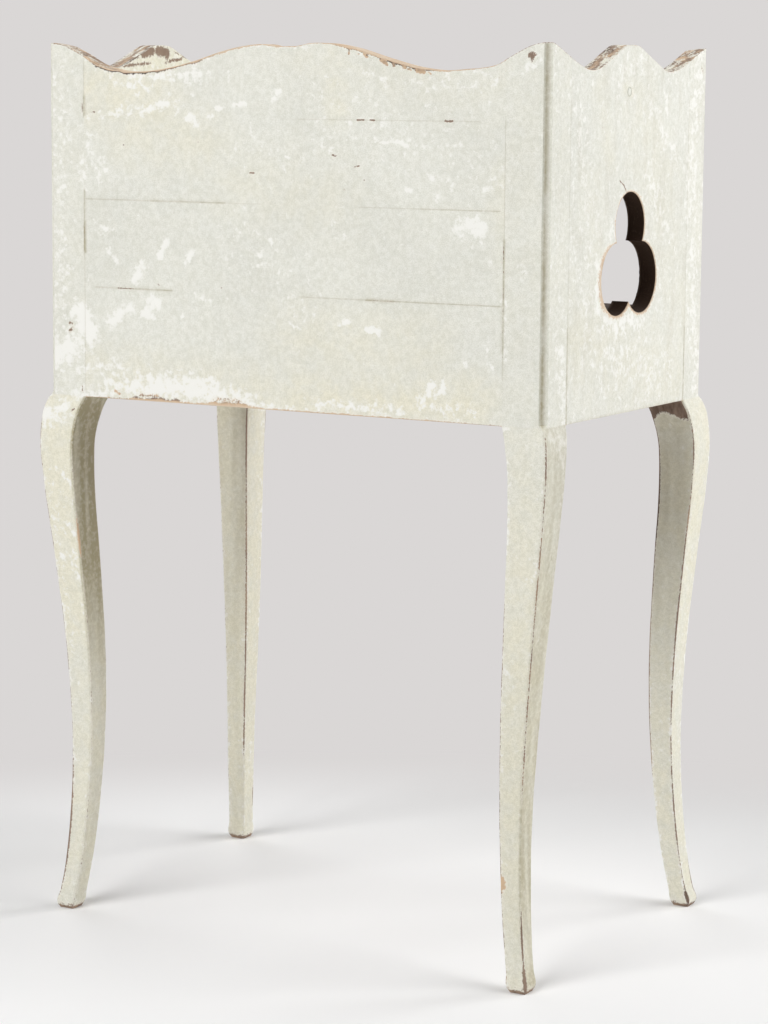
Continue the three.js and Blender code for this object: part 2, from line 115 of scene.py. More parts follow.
RAIL_WAVE = 14
RAIL_WAVE_SHARES = [
    (0, 0), (0.05, 0.03), (0.14, 0.42), (0.25, 0.84), (0.38, 1), (0.55, 0.92), (0.72, 0.62),
    (0.88, 0.3), (1, 0.2),
]
TOP_LOBE_SHARE, LOW_LOBE_SHARE, LOBE_SPREAD_SHARE = 0.154, 0.166, 0.127
LOBE_RISE_SHARE, TREFOIL_RISE_SHARE = 0.243, 0.021

# Fineness of the meshes: steps of the grids, and the space that painted joints keep
STEP = 2.0
SEAM = 0.02
MERGE = 0.4
SHARP_ANGLE = 25

# Lowest and highest corners of a node
def corners(node):
    low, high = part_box(node)
    return np.array(low) / MM, np.array(high) / MM


LEFT, RIGHT = corners("side_panel_left"), corners("side_panel_right")
RAIL, BACK = corners("front_top_rail"), corners("back_board_top")
TRAY, FLOOR = corners("tray_top"), corners("niche_floor")
X0, X1 = LEFT[0][0], RIGHT[1][0]
Y0, Y1 = RAIL[0][1], BACK[1][1]
MID_X, MID_Y = (X0 + X1) / 2, (Y0 + Y1) / 2
HALF_X, HALF_Y = (X1 - X0) / 2, (Y1 - Y0) / 2
POST_X, POST_Y = HALF_X - POST, HALF_Y - POST
TRAY_TOP, NICHE_FLOOR = TRAY[1][2], FLOOR[1][2]
NICHE = TRAY[0][2] - NICHE_FLOOR


# A smooth curve through the points of a table, read at any place along it
def smooth(points, at):
    u, v = np.array(points, float).T
    slope = np.gradient(v, u)
    k = np.clip(np.searchsorted(u, at) - 1, 0, len(u) - 2)
    reach = u[k + 1] - u[k]
    t = (at - u[k]) / reach
    start = (1 + 2 * t) * (1 - t) ** 2 * v[k] + t * (1 - t) ** 2 * reach * slope[k]
    return start + t * t * (3 - 2 * t) * v[k + 1] + t * t * (t - 1) * reach * slope[k + 1]


# From 0 at low to 1 at high, smooth at both ends
def ramp(x, low, high):
    t = np.clip((x - low) / (high - low), 0, 1)
    return t * t * (3 - 2 * t)


def back_top(x):
    along = np.clip(1 - np.abs(x - MID_X) / HALF_X, 0, 1)
    left = smooth(BACK_LEFT_GALLERY_SHARES, along)
    right = smooth(BACK_RIGHT_GALLERY_SHARES, along)
    return HEIGHT - BACK_DIP * np.where(x < MID_X, left, right)


def side_top(y):
    along = np.clip(1 - np.abs(y - MID_Y) / HALF_Y, 0, 1)
    return HEIGHT - SIDE_DIP * smooth(SIDE_GALLERY_SHARES, along)


# Smooth random values from -1 to 1 over points, with a grain of so many millimetres
def rough(points, grain, seed):
    scaled = points / np.array(grain, float)
    base = np.floor(scaled).astype(np.int64)
    part = scaled - base
    part = part * part * (3 - 2 * part)
    total = np.zeros(len(points))
    for corner in itertools.product((0, 1), repeat=3):
        x, y, z = (base + np.array(corner)).T
        mixed = (x * 73856093) ^ (y * 19349663) ^ (z * 83492791) ^ (seed * 2654435761)
        mixed = (mixed ^ (mixed >> 13)) * 1274126177
        chance = ((mixed ^ (mixed >> 16)) & 0xFFFF) / 0xFFFF
        total += chance * np.prod(np.where(corner, part, 1 - part), axis=1)
    return 2 * total - 1


# Values round 1 that go up and down by so much
def uneven(points, amount, grain, seed):
    return 1 + amount * rough(points, grain, seed)


# The camera's axes, and where a pixel of the photo lies on a plane across X or Y
def camera_axes():
    az, el, roll = (math.radians(angle) for angle in (AZIMUTH, ELEVATION, ROLL))
    ahead = np.array([-math.sin(az) * math.cos(el), math.cos(az) * math.cos(el), -math.sin(el)])
    right = np.cross(ahead, (0, 0, 1))
    right /= np.linalg.norm(right)
    up = np.cross(right, ahead)
    turned = math.cos(roll) * right + math.sin(roll) * up
    return turned, np.cross(turned, ahead), ahead


AXES = camera_axes()


def on_plane(axis, level, px, py):
    right, up, ahead = AXES
    focus = LENS / SENSOR * PHOTO_HEIGHT
    ray = ahead * focus + right * (px - PHOTO_WIDTH / 2) - up * (py - PHOTO_HEIGHT / 2)
    start = np.array(CAMERA_PLACE) / MM
    hit = start + ray * (level - start[axis]) / ray[axis]
    return hit[1 - axis], hit[2]


# Strokes are marks chosen on the photo: the pixels of both ends, half the width in
# millimetres and the strength. They become ends in the plane of the back or of the left side.
def placed(strokes, axis, level):
    def at(px, py):
        return on_plane(axis, level, px, py)

    return [(*at(px0, py0), *at(px1, py1), *rest) for px0, py0, px1, py1, *rest in strokes]


on_back, on_side = partial(placed, axis=1, level=Y1), partial(placed, axis=0, level=X0)


# The same strokes moved onto a joint: across at u, or level at v
def along_joint(strokes, u=None, v=None):
    moved = []
    for u0, v0, u1, v1, *rest in strokes:
        moved.append((u0, v, u1, v, *rest) if u is None else (u, v0, u, v1, *rest))
    return moved


SEAM_HEIGHTS = [corners(f"back_board_{word}")[0][2] for word in ("top", "upper", "lower")]
JOINTS_X = (MID_X + POST_X, MID_X - POST_X)
JOINTS_Y = (MID_Y + POST_Y, MID_Y - POST_Y)


# Strokes along the back's joints: tables for its three seams from the top, then for the joints
# beside the posts on the photo's left and right
def on_back_joints(*tables):
    joints = [{"v": at} for at in SEAM_HEIGHTS] + [{"u": at} for at in JOINTS_X]
    moved = (along_joint(on_back(table), **joint) for joint, table in zip(joints, tables))
    return list(itertools.chain(*moved))


# Strength of the strokes at places (u, v): full on the stroke, half at its edge
def stroked(u, v, strokes):
    most = np.zeros(len(u))
    for u0, v0, u1, v1, radius, strength in strokes:
        du, dv = u1 - u0, v1 - v0
        along = np.clip(((u - u0) * du + (v - v0) * dv) / max(du * du + dv * dv, 1e-9), 0, 1)
        off = np.hypot(u - u0 - along * du, v - v0 - along * dv)
        most = np.maximum(most, strength * np.clip(1 - 0.5 * off / radius, 0, 1))
    return most


# Nicks and chips in the back that show dark wood
BACK_NICKS = on_back([
    (82, 104, 82, 112, 0.8, 0.95), (91, 112, 95, 112, 0.8, 0.9), (123, 145, 124, 145, 0.9, 0.8),
    (198, 142, 198, 142, 0.7, 0.8), (250, 173, 254, 173, 0.9, 1), (332, 155, 336, 156, 0.9, 1),
    (354, 167, 359, 166, 0.8, 0.95), (364, 180, 364, 181, 0.9, 0.8), (313, 115, 313, 115, 0.8, 0.8),
    (82, 386, 82, 391, 1, 1), (75, 410, 77, 408, 1.1, 1), (70, 323, 73, 325, 1.6, 1.1),
    (70, 331, 71, 330, 1.7, 1.1), (530, 55, 534, 55, 2.4, 1.1), (531, 60, 531, 62, 1.3, 1),
    (499, 78, 507, 70, 0.5, 0.7), (344, 189, 344, 191, 0.6, 0.7), (158, 284, 159, 285, 0.8, 0.75),
    (221, 288, 222, 288, 0.9, 0.8), (115, 201, 116, 201, 0.5, 0.7), (70, 304, 71, 304, 0.7, 0.7),
    (501, 262, 502, 263, 0.7, 0.8), (520, 379, 521, 379, 0.5, 0.7), (552, 124, 552, 127, 1, 0.9),
]) + on_back_joints([
    (357, 119, 364, 119, 0.8, 1), (370, 119, 375, 119, 0.8, 1), (445, 121, 453, 121, 0.9, 1),
])
# Chips and wear that show paler wood: under the gallery's edge, along the seams and below
BACK_CHIPS = on_back([
    (349, 50, 349, 54, 1.2, 0.8), (364, 54, 367, 57, 1.4, 0.85), (382, 60, 385, 62, 2.4, 0.9),
    (386, 62, 387, 65, 1.3, 0.85), (393, 63, 394, 66, 1.6, 0.85), (403, 65, 405, 67, 2.2, 0.9),
    (418, 70, 423, 71, 2.6, 0.95), (115, 391, 120, 394, 1.6, 0.75), (540, 163, 542, 163, 1.2, 0.8),
    (408, 69, 411, 70, 1.2, 0.75), (357, 53, 359, 54, 1, 0.7), (428, 72, 431, 74, 1.2, 0.7),
    (140, 395, 158, 396, 2.4, 0.62), (215, 399, 240, 401, 3, 0.6),
])
# Stains along the seams and the joints of the back, khaki where dirt lies in them
BACK_SEAMS = on_back_joints([(300, 117, 480, 122, 0.35, 0.25)], [
    (85, 196, 150, 198, 0.4, 0.45), (150, 198, 225, 202, 0.45, 0.65), (225, 202, 262, 203, 0.35, 0.2),
    (360, 207, 420, 209, 0.35, 0.3), (420, 209, 500, 212, 0.4, 0.5),
], [
    (95, 285, 118, 286, 0.4, 0.45), (118, 286, 172, 289, 0.45, 0.75), (300, 297, 365, 301, 0.4, 0.4),
    (365, 301, 395, 303, 0.5, 0.9), (395, 303, 502, 310, 0.4, 0.6),
], [
    (82, 60, 82, 96, 0.4, 0.4), (82, 96, 82, 115, 0.6, 0.8), (82, 190, 82, 222, 0.5, 0.6),
    (82, 222, 82, 252, 0.8, 1), (82, 252, 82, 390, 0.35, 0.3),
], [
    (503, 120, 503, 240, 0.35, 0.3), (503, 240, 503, 303, 0.55, 0.8), (503, 303, 503, 352, 0.6, 0.7),
    (503, 352, 503, 380, 0.4, 0.35),
])
# Wood that shows in the same joints
BACK_SEAM_WOOD = on_back_joints([], [(130, 197, 200, 200, 0.35, 0.52)], [
    (98, 285, 116, 286, 0.4, 0.56), (118, 286, 134, 287, 0.8, 0.8), (136, 287, 160, 288, 0.4, 0.6),
    (372, 301, 392, 303, 0.5, 0.62), (470, 307, 480, 308, 0.5, 0.5),
], [(82, 102, 82, 112, 0.6, 0.7), (82, 224, 82, 240, 0.7, 0.75)], [
    (503, 246, 503, 259, 0.8, 0.9), (503, 271, 503, 273, 0.8, 0.8), (503, 288, 503, 300, 0.7, 0.75),
    (503, 308, 503, 312, 0.9, 0.75), (503, 322, 503, 324, 0.7, 0.65), (503, 330, 503, 333, 0.8, 0.7),
    (503, 344, 503, 348, 0.5, 0.6), (503, 356, 503, 358, 0.6, 0.65),
])
# White ground that shows where the green coat has gone: patches, bands and speckled areas
BACK_WHITES = on_back([
    (160, 256, 167, 241, 2.6, 1), (135, 280, 143, 264, 4, 0.95), (186, 264, 191, 253, 2.4, 0.9),
    (158, 307, 142, 300, 5, 0.4), (147, 312, 155, 302, 5.5, 1.1), (108, 322, 132, 306, 4.5, 0.95),
    (80, 312, 88, 330, 9, 1.1), (88, 330, 92, 345, 4, 0.9), (66, 330, 80, 340, 9, 0.75),
    (56, 350, 70, 350, 9, 1.1), (52, 366, 58, 352, 6, 1), (44, 418, 66, 405, 7, 0.8),
    (80, 368, 120, 366, 5, 0.6), (110, 385, 150, 383, 10, 0.72), (150, 386, 205, 388, 10, 1),
    (205, 392, 246, 403, 7, 1.05), (250, 408, 290, 412, 4, 0.75), (75, 395, 110, 392, 7, 0.6),
    (115, 84, 150, 92, 6, 0.45), (165, 80, 205, 76, 5, 0.55), (105, 70, 150, 77, 3, 0.7),
    (150, 77, 200, 72, 3, 0.8), (228, 72, 228, 86, 1.4, 0.6),
    (120, 110, 175, 104, 7, 0.5), (100, 115, 130, 114, 3.5, 0.55), (142, 112, 152, 108, 4, 0.8),
    (160, 103, 168, 103, 2.2, 0.95), (190, 118, 195, 122, 3.4, 1), (208, 117, 212, 117, 2.4, 0.95),
    (216, 108, 219, 108, 2.2, 0.9), (235, 105, 244, 104, 2.2, 0.85), (275, 97, 277, 93, 3, 0.95),
    (250, 125, 254, 142, 1.4, 0.75), (188, 93, 192, 95, 2, 0.8), (60, 70, 60, 380, 11, 0.43),
    (88, 130, 100, 175, 9, 0.42), (82, 160, 84, 185, 4, 0.55), (95, 225, 112, 230, 5, 0.5),
    (104, 172, 106, 170, 2, 0.8), (92, 160, 95, 168, 2.5, 0.8), (110, 250, 118, 262, 4, 0.55),
    (370, 141, 398, 142, 1.2, 0.85), (398, 141, 408, 146, 2, 0.95), (447, 145, 448, 145, 2, 0.9),
    (432, 177, 433, 178, 2.2, 0.95), (408, 190, 410, 191, 2.2, 0.95), (438, 196, 437, 202, 1.7, 0.85),
    (452, 185, 451, 190, 1.6, 0.8), (485, 190, 500, 185, 3, 0.6), (460, 228, 480, 226, 6, 0.85),
    (460, 232, 482, 232, 8, 0.5), (462, 90, 500, 78, 6, 0.36), (430, 84, 470, 82, 7, 0.42),
    (340, 70, 430, 85, 6, 0.36), (337, 326, 348, 320, 2.4, 0.9), (368, 329, 377, 331, 3, 0.95),
    (424, 398, 432, 385, 4, 0.8), (436, 396, 444, 386, 3.4, 0.8), (415, 405, 470, 410, 5, 0.55),
    (310, 405, 400, 410, 6, 0.5), (466, 364, 466, 366, 2, 0.85), (489, 364, 492, 368, 2, 0.85),
    (486, 346, 488, 350, 1.8, 0.7), (488, 262, 491, 262, 2.6, 0.85), (320, 95, 322, 160, 14, 0.26),
    (240, 240, 300, 300, 26, 0.25), (270, 240, 272, 244, 2, 0.85), (258, 255, 260, 256, 1.6, 0.8),
    (350, 110, 480, 160, 30, 0.27), (505, 300, 505, 360, 3, 0.5), (520, 70, 540, 60, 6, 0.5),
    (515, 268, 525, 275, 3, 0.6), (255, 150, 300, 160, 16, 0.27), (180, 315, 184, 318, 1.6, 0.7),
    (198, 296, 210, 302, 4, 0.55), (288, 312, 300, 330, 5, 0.45), (340, 215, 342, 230, 8, 0.3),
])
# Warm cream clouds in the green
BACK_CREAMS = on_back([
    (90, 90, 150, 100, 22, 0.8), (130, 130, 200, 140, 20, 0.5), (60, 60, 60, 300, 14, 0.7),
    (300, 400, 470, 405, 18, 0.9), (120, 385, 260, 400, 20, 0.7), (300, 60, 500, 90, 18, 0.2),
    (300, 340, 420, 350, 22, 0.5), (500, 180, 530, 330, 12, 0.35), (320, 330, 350, 325, 12, 0.5),
    (230, 180, 330, 200, 22, 0.3), (330, 60, 340, 110, 10, 0.5), (80, 365, 180, 375, 14, 0.5),
])

# The same for the left side, which shows on the photo's right
SIDE_NICKS = on_side([
    (568, 63, 568, 66, 0.9, 0.9), (603, 127, 603, 128, 1, 0.75), (620, 181, 624, 185, 0.8, 1),
    (624, 185, 627, 193, 0.8, 1),
    (702, 67, 703, 72, 1.5, 0.9), (584, 81, 586, 84, 1, 0.6), (697, 119, 699, 121, 0.9, 0.6),
    (630, 166, 632, 170, 0.8, 0.6), (551, 125, 552, 127, 1, 0.9), (688, 128, 688, 131, 0.8, 0.6),
])
SIDE_RIM_CHIPS = on_side([
    (602, 303, 607, 312, 2.2, 0.8), (618, 312, 624, 310, 2, 0.85),
    (625, 311, 632, 300, 1.6, 0.9), (605, 258, 614, 249, 1.4, 0.8), (645, 246, 650, 256, 1, 0.75),
    (617, 243, 617, 250, 1, 0.7), (608, 314, 614, 315, 1.4, 0.7),
    (636, 194, 642, 197, 1, 0.65),
])
SIDE_SEAMS = [
    *along_joint(on_side([(567, 330, 567, 430, 0.6, 0.75), (567, 100, 567, 330, 0.35, 0.25)]), u=JOINTS_Y[0]),
    *along_joint(on_side([(686, 325, 686, 400, 0.6, 0.8), (686, 100, 686, 325, 0.4, 0.35)]), u=JOINTS_Y[1]),
    *along_joint(on_side([(568, 425, 620, 414, 0.6, 0.6), (620, 414, 684, 402, 0.6, 0.6)]), v=KNEE),
]
SIDE_WHITES = on_side([
    (598, 262, 598, 312, 4, 0.8), (605, 320, 640, 322, 6, 0.7), (614, 322, 616, 330, 5, 0.8),
    (610, 238, 616, 225, 4, 0.5), (612, 80, 640, 62, 8, 0.4), (700, 60, 690, 160, 8, 0.45),
    (580, 90, 590, 300, 12, 0.2), (650, 180, 668, 230, 8, 0.4), (575, 250, 590, 330, 8, 0.3),
    (560, 340, 566, 420, 5, 0.5), (690, 160, 695, 380, 8, 0.5), (600, 350, 660, 380, 22, 0.25),
    (650, 100, 672, 150, 6, 0.4), (664, 90, 668, 110, 3, 0.6),
])
SIDE_CREAMS = on_side([
    (575, 340, 680, 380, 30, 0.9), (600, 90, 610, 160, 10, 0.7), (650, 110, 670, 170, 14, 0.5),
    (560, 200, 575, 300, 10, 0.4), (626, 90, 632, 92, 5, 1.2), (610, 325, 640, 340, 12, 0.8),
    (640, 100, 690, 360, 26, 0.6), (590, 180, 600, 330, 16, 0.5),
])


# Half width in millimetres below which a stroke gets grid lines of its own
FINE_STROKE = 2.5


# Grid lines through the fine strokes: which is 0 for places along and 1 for heights
def small_marks(strokes, which):
    lines = []
    for stroke in strokes:
        radius = stroke[4]
        if radius < FINE_STROKE:
            low, high = sorted((stroke[which], stroke[which + 2]))
            lines += [low - radius, low, high, high + radius]
    return lines


# Grid lines between the knots, with a support line beside both outer edges
def grid_lines(knots, edge, marks=(), step=STEP):
    low, high = knots[0], knots[-1]
    stops = [low + edge, *knots[1:-1], high - edge]
    lines = [low, high]
    for start, end in zip(stops, stops[1:]):
        lines.extend(np.linspace(start, end, math.ceil((end - start) / step) + 1))
    for mark in marks:
        if low + edge < mark < high - edge and np.abs(np.array(lines) - mark).min() > MERGE:
            lines.append(mark)
    return np.unique(lines)


# How far the rings of a hole go from its box towards its outline, before the last two
RING_REACH = 0.94


# A flat net of quads over grid lines, with holes that have an outline of their own
class Net:
    def __init__(self, us, vs, warp=None, keep=None):
        u, v = np.meshgrid(us, vs, indexing="ij")
        self.ids = np.arange(u.size).reshape(u.shape)
        self.us, self.vs = us, vs
        ids = self.ids
        quads = np.stack([ids[:-1, :-1], ids[1:, :-1], ids[1:, 1:], ids[:-1, 1:]], -1)
        kept = np.ones(quads.shape[:2], bool)
        middle_u, middle_v = (us[1:] + us[:-1]) / 2, (vs[1:] + vs[:-1]) / 2
        self.middles = np.meshgrid(middle_u, middle_v, indexing="ij")
        if keep:
            kept = keep(*self.middles)
        self.grid, self.kept, self.rings = quads, kept, []
        points = np.stack([u, v], -1).reshape(-1, 2)
        if warp:
            points[:, 1] = warp(points[:, 0], points[:, 1])
        self.points = points

    # Cuts the hole out of a box of the grid and fills in between with rings of quads
    def hole(self, box, outline, rings, edge):
        u0, u1, v0, v1 = box
        in_box = (self.middles[0] > u0) & (self.middles[0] < u1)
        in_box &= (self.middles[1] > v0) & (self.middles[1] < v1)
        self.kept &= ~in_box
        i0, i1 = (int(np.abs(self.us - u).argmin()) for u in (u0, u1))
        j0, j1 = (int(np.abs(self.vs - v).argmin()) for v in (v0, v1))
        ids = self.ids
        loop = [*ids[i0:i1, j0], *ids[i1, j0:j1], *ids[i1:i0:-1, j1], *ids[i0, j1:j0:-1]]
        outer = self.points[loop]
        inner = outline(outer)
        away = outer - inner
        away /= np.linalg.norm(away, axis=1)[:, None]
        levels = [outer + (inner - outer) * share for share in np.linspace(0, RING_REACH, rings)[1:]]
        levels += [inner + away * edge, inner]
        before = np.array(loop)
        for level in levels:
            after = len(self.points) + np.arange(len(level))
            self.points = np.concatenate([self.points, level])
            self.rings.append(np.stack([before, np.roll(before, -1), np.roll(after, -1), after], -1))
            before = after

    def finished(self):
        quads = np.concatenate([self.grid[self.kept].reshape(-1, 4), *self.rings])
        used = np.unique(quads)
        renumbered = np.full(len(self.points), -1)
        renumbered[used] = np.arange(len(used))
        return self.points[used], renumbered[quads]


# Loops of boundary points of a net, with the material on their left
def rims(quads, count):
    edges = np.concatenate([quads[:, [k, (k + 1) % 4]] for k in range(4)])
    codes = edges[:, 0] * count + edges[:, 1]
    free = ~np.isin(codes, edges[:, 1] * count + edges[:, 0])
    following = dict(edges[free].tolist())
    loops = []
    while following:
        start, here = next(iter(following.items()))
        del following[start]
        loop = [start]
        while here != start:
            loop.append(here)
            here = following.pop(here)
        loops.append(np.array(loop))
    return loops


# A closed board from a net: both faces, and rounded edges round every rim
def board(points, quads, thickness, edge_radius, wall_step=2.5):
    half = thickness / 2
    faces_uv = points.copy()
    loops = []
    for loop in rims(quads, len(points)):
        outline = points[loop]
        ahead = np.roll(outline, -1, 0) - outline
        ahead /= np.linalg.norm(ahead, axis=1)[:, None]
        out = np.stack([ahead[:, 1], -ahead[:, 0]], -1)
        before = np.roll(out, 1, 0)
        mitre = (out + before) / (1 + (out * before).sum(1))[:, None]
        radius = edge_radius(outline[:, 0], outline[:, 1])[:, None]
        faces_uv[loop] -= mitre * radius
        loops.append((loop, outline, mitre, radius))
    count = len(points)
    flat = np.ones((count, 1))
    spots = [np.hstack([faces_uv, half * flat]), np.hstack([faces_uv, -half * flat])]
    faces = [quads, quads[:, ::-1] + count]
    made = 2 * count
    for loop, outline, mitre, radius in loops:
        arc = [(1 - math.sin(a), 1 - math.cos(a)) for a in np.radians((30, 60, 90))]
        levels = [(inset, half - radius * sink) for inset, sink in arc]
        inner = np.arange(1, max(2, round(thickness / wall_step))) / max(2, round(thickness / wall_step))
        levels += [(0, (half - radius) * (1 - 2 * share)) for share in inner]
        levels += [(inset, -(half - radius * sink)) for inset, sink in arc[::-1]]
        above = loop
        for inset, level in levels:
            ring = made + np.arange(len(loop))
            spots.append(np.hstack([outline - mitre * radius * inset, level]))
            faces.append(np.stack([np.roll(above, -1), above, ring, np.roll(ring, -1)], -1))
            above, made = ring, made + len(loop)
        below = loop + count
        faces.append(np.stack([np.roll(above, -1), above, below, np.roll(below, -1)], -1))
    return np.concatenate(spots), np.concatenate(faces)


# Where a board stands: the axes of its length, height and outer side, and its middle plane
STANDS = {
    "back": (((1, 0, 0), (0, 0, 1), (0, 1, 0)), (0, Y1 - PANEL / 2, 0)),
    "left": (((0, 1, 0), (0, 0, 1), (-1, 0, 0)), (X0 + PANEL / 2, 0, 0)),
    "right": (((0, 1, 0), (0, 0, 1), (1, 0, 0)), (X1 - PANEL / 2, 0, 0)),
}


def stood(spots, faces, stand):
    axes, origin = np.array(stand[0], float), np.array(stand[1])
    mirrored = np.linalg.det(axes) < 0
    return spots @ axes + origin, faces[:, ::-1] if mirrored else faces


# 0 on a closed joint of the case, 1 away from all joints
def off_joints(spots):
    x, y, z = spots.T
    planes = [np.abs(x - at) for at in JOINTS_X] + [np.abs(y - at) for at in JOINTS_Y]
    planes += [np.abs(z - at) for at in SEAM_HEIGHTS]
    return np.where(z > KNEE, np.clip(np.minimum.reduce(planes) / 1.2, 0, 1), 1)


# Fields of every piece; the stains hold painted shade on the legs as well as dirt, and the white ground a
# painted highlight along their arrises
FIELDS = ("wear", "tone", "chalk", "stain", "cream")
# Depth of the slow waves in the surface, and how far wood lies below the paint round it
WAVE_DEPTH, WOOD_DEPTH = 0.1, 0.25


def linked(name, data):
    thing = bpy.data.objects.new(name, data)
    bpy.context.scene.collection.objects.link(thing)
    return thing


# Depth by which a surface is sunk: everywhere in slow waves, and more where wood is bare
def sunk(spots, wear):
    waves = WAVE_DEPTH * uneven(spots, 1, (45, 45, 45), 3) / 2
    return waves + WOOD_DEPTH * np.clip(wear - 0.4, 0, 0.6)


# A finished piece: a mesh in metres with its fields of wear, sunk where the wood is worn
def piece(node, spots, faces, material, fields, slot, sink=off_joints):
    mesh = bpy.data.meshes.new(f"{node}_finished")
    mesh.from_pydata((spots * MM).tolist(), [], [list(face) for face in faces])
    mesh.update()
    made = fields(spots)
    for name in FIELDS:
        values = np.broadcast_to(made.get(name, 0.0), len(spots)).astype(np.float32)
        mesh.attributes.new(name, "FLOAT", "POINT").data.foreach_set("value", values)
    normals = np.zeros(len(spots) * 3, np.float32)
    mesh.vertex_normals.foreach_get("vector", normals)
    depth = sunk(spots, made.get("wear", 0)) * sink(spots)
    moved = spots - normals.reshape(-1, 3) * np.broadcast_to(depth, len(spots))[:, None]
    mesh.vertices.foreach_set("co", (moved * MM).astype(np.float32).ravel())
    mesh.polygons.foreach_set("use_smooth", [True] * len(mesh.polygons))
    mesh.set_sharp_from_angle(angle=math.radians(SHARP_ANGLE))
    mesh.materials.append(material)
    mesh.update()
    thing = linked(f"{node}_finished", mesh)
    bodies = frame["record"]["behaviour"]["bodies"]
    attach(thing, next(body for body, nodes in bodies.items() if node in nodes))
    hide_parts(node)
    return thing


# A painted board from its net, stood in its place
def painted_board(node, net, thickness, radius, stand, grain, fields):
    spots, faces = stood(*board(*net.finished(), thickness, radius), stand)
    return piece(node, spots, faces.tolist(), PAINT[grain], fields, "painted_wood")


# Colour of a shader's socket from 8-bit sRGB
def linear(colour):
    parts = np.array(colour) / 255
    return (*np.where(parts < 0.04045, parts / 12.92, ((parts + 0.055) / 1.055) ** 2.4), 1)


# Nodes of a tree, written as calls
class Nodes:
    def __init__(self, tree):
        self.tree = tree

    # A node with its inputs by name or number, each a socket to link or a plain value
    def node(self, kind, inputs=(), **settings):
        made = self.tree.nodes.new(kind)
        for name, value in settings.items():
            setattr(made, name, value)
        for name, value in dict(inputs).items():
            self.feed(made.inputs[name], value)
        return made

    def feed(self, socket, value):
        if isinstance(value, bpy.types.NodeSocket):
            self.tree.links.new(value, socket)
        else:
            socket.default_value = value

    def math(self, operation, *values, clamp=False):
        inputs = enumerate(values)
        return self.node("ShaderNodeMath", inputs, operation=operation, use_clamp=clamp).outputs[0]

    def step(self, value, low, high, start=0.0, end=1.0):
        inputs = enumerate((value, low, high, start, end))
        return self.node("ShaderNodeMapRange", inputs, interpolation_type="SMOOTHSTEP").outputs[0]

    def mix(self, share, first, second, blend="MIX"):
        inputs = {0: share, 6: first, 7: second}
        return self.node("ShaderNodeMix", inputs, data_type="RGBA", blend_type=blend).outputs[2]


# A material, with noises that lie still in the frame of the table
class Shader(Nodes):
    def __init__(self, name):
        self.material = bpy.data.materials.new(name)
        self.material.use_nodes = True
        super().__init__(self.material.node_tree)
        self.surface = self.tree.nodes["Principled BSDF"]
        self.place = self.node("ShaderNodeTexCoord").outputs["Object"]

    def field(self, name):
        return self.node("ShaderNodeAttribute", attribute_name=name).outputs["Fac"]

    # A value with its border broken up by a noise, by so much to both sides
    def ragged(self, value, noise, amount):
        return self.math("MULTIPLY_ADD", self.math("SUBTRACT", noise, 0.5), amount, value)

    def finish(self, colour, roughness, specular):
        self.feed(self.surface.inputs["Base Color"], colour)
        self.feed(self.surface.inputs["Roughness"], roughness)
        self.surface.inputs["Specular IOR Level"].default_value = specular

    def noise(self, scale, detail, roughness, stretch=(1, 1, 1), offset=(0, 0, 0)):
        moved = {"Vector": self.place, "Scale": stretch, "Location": offset}
        inputs = {"Scale": scale, "Detail": detail, "Roughness": roughness}
        inputs["Vector"] = self.node("ShaderNodeMapping", moved).outputs["Vector"]
        return self.node("ShaderNodeTexNoise", inputs).outputs["Fac"]

    def bump(self, height, distance, strength):
        inputs = {"Strength": strength, "Distance": distance, "Height": height}
        self.feed(self.surface.inputs["Normal"], self.node("ShaderNodeBump", inputs).outputs["Normal"])


SAGE, SAGE_GREY = linear((238, 238, 232)), linear((233, 233, 227))
CREAM, PALE_CREAM = linear((240, 236, 219)), linear((236, 232, 220))
WHITE_GROUND = linear((242, 241, 235))
SHADE = linear((242, 242, 239))
# Khaki of dirt, and of painted shade in the legs' hollows and under the case
KHAKI = linear((164, 154, 122))
BEIGE, TAN = linear((220, 203, 181)), linear((208, 180, 150))
WOOD_BROWN, WOOD_DARK = linear((146, 125, 109)), linear((62, 45, 34))
GRAIN = {"X": (0.08, 1, 1), "Y": (1, 0.08, 1), "Z": (1, 1, 0.08)}


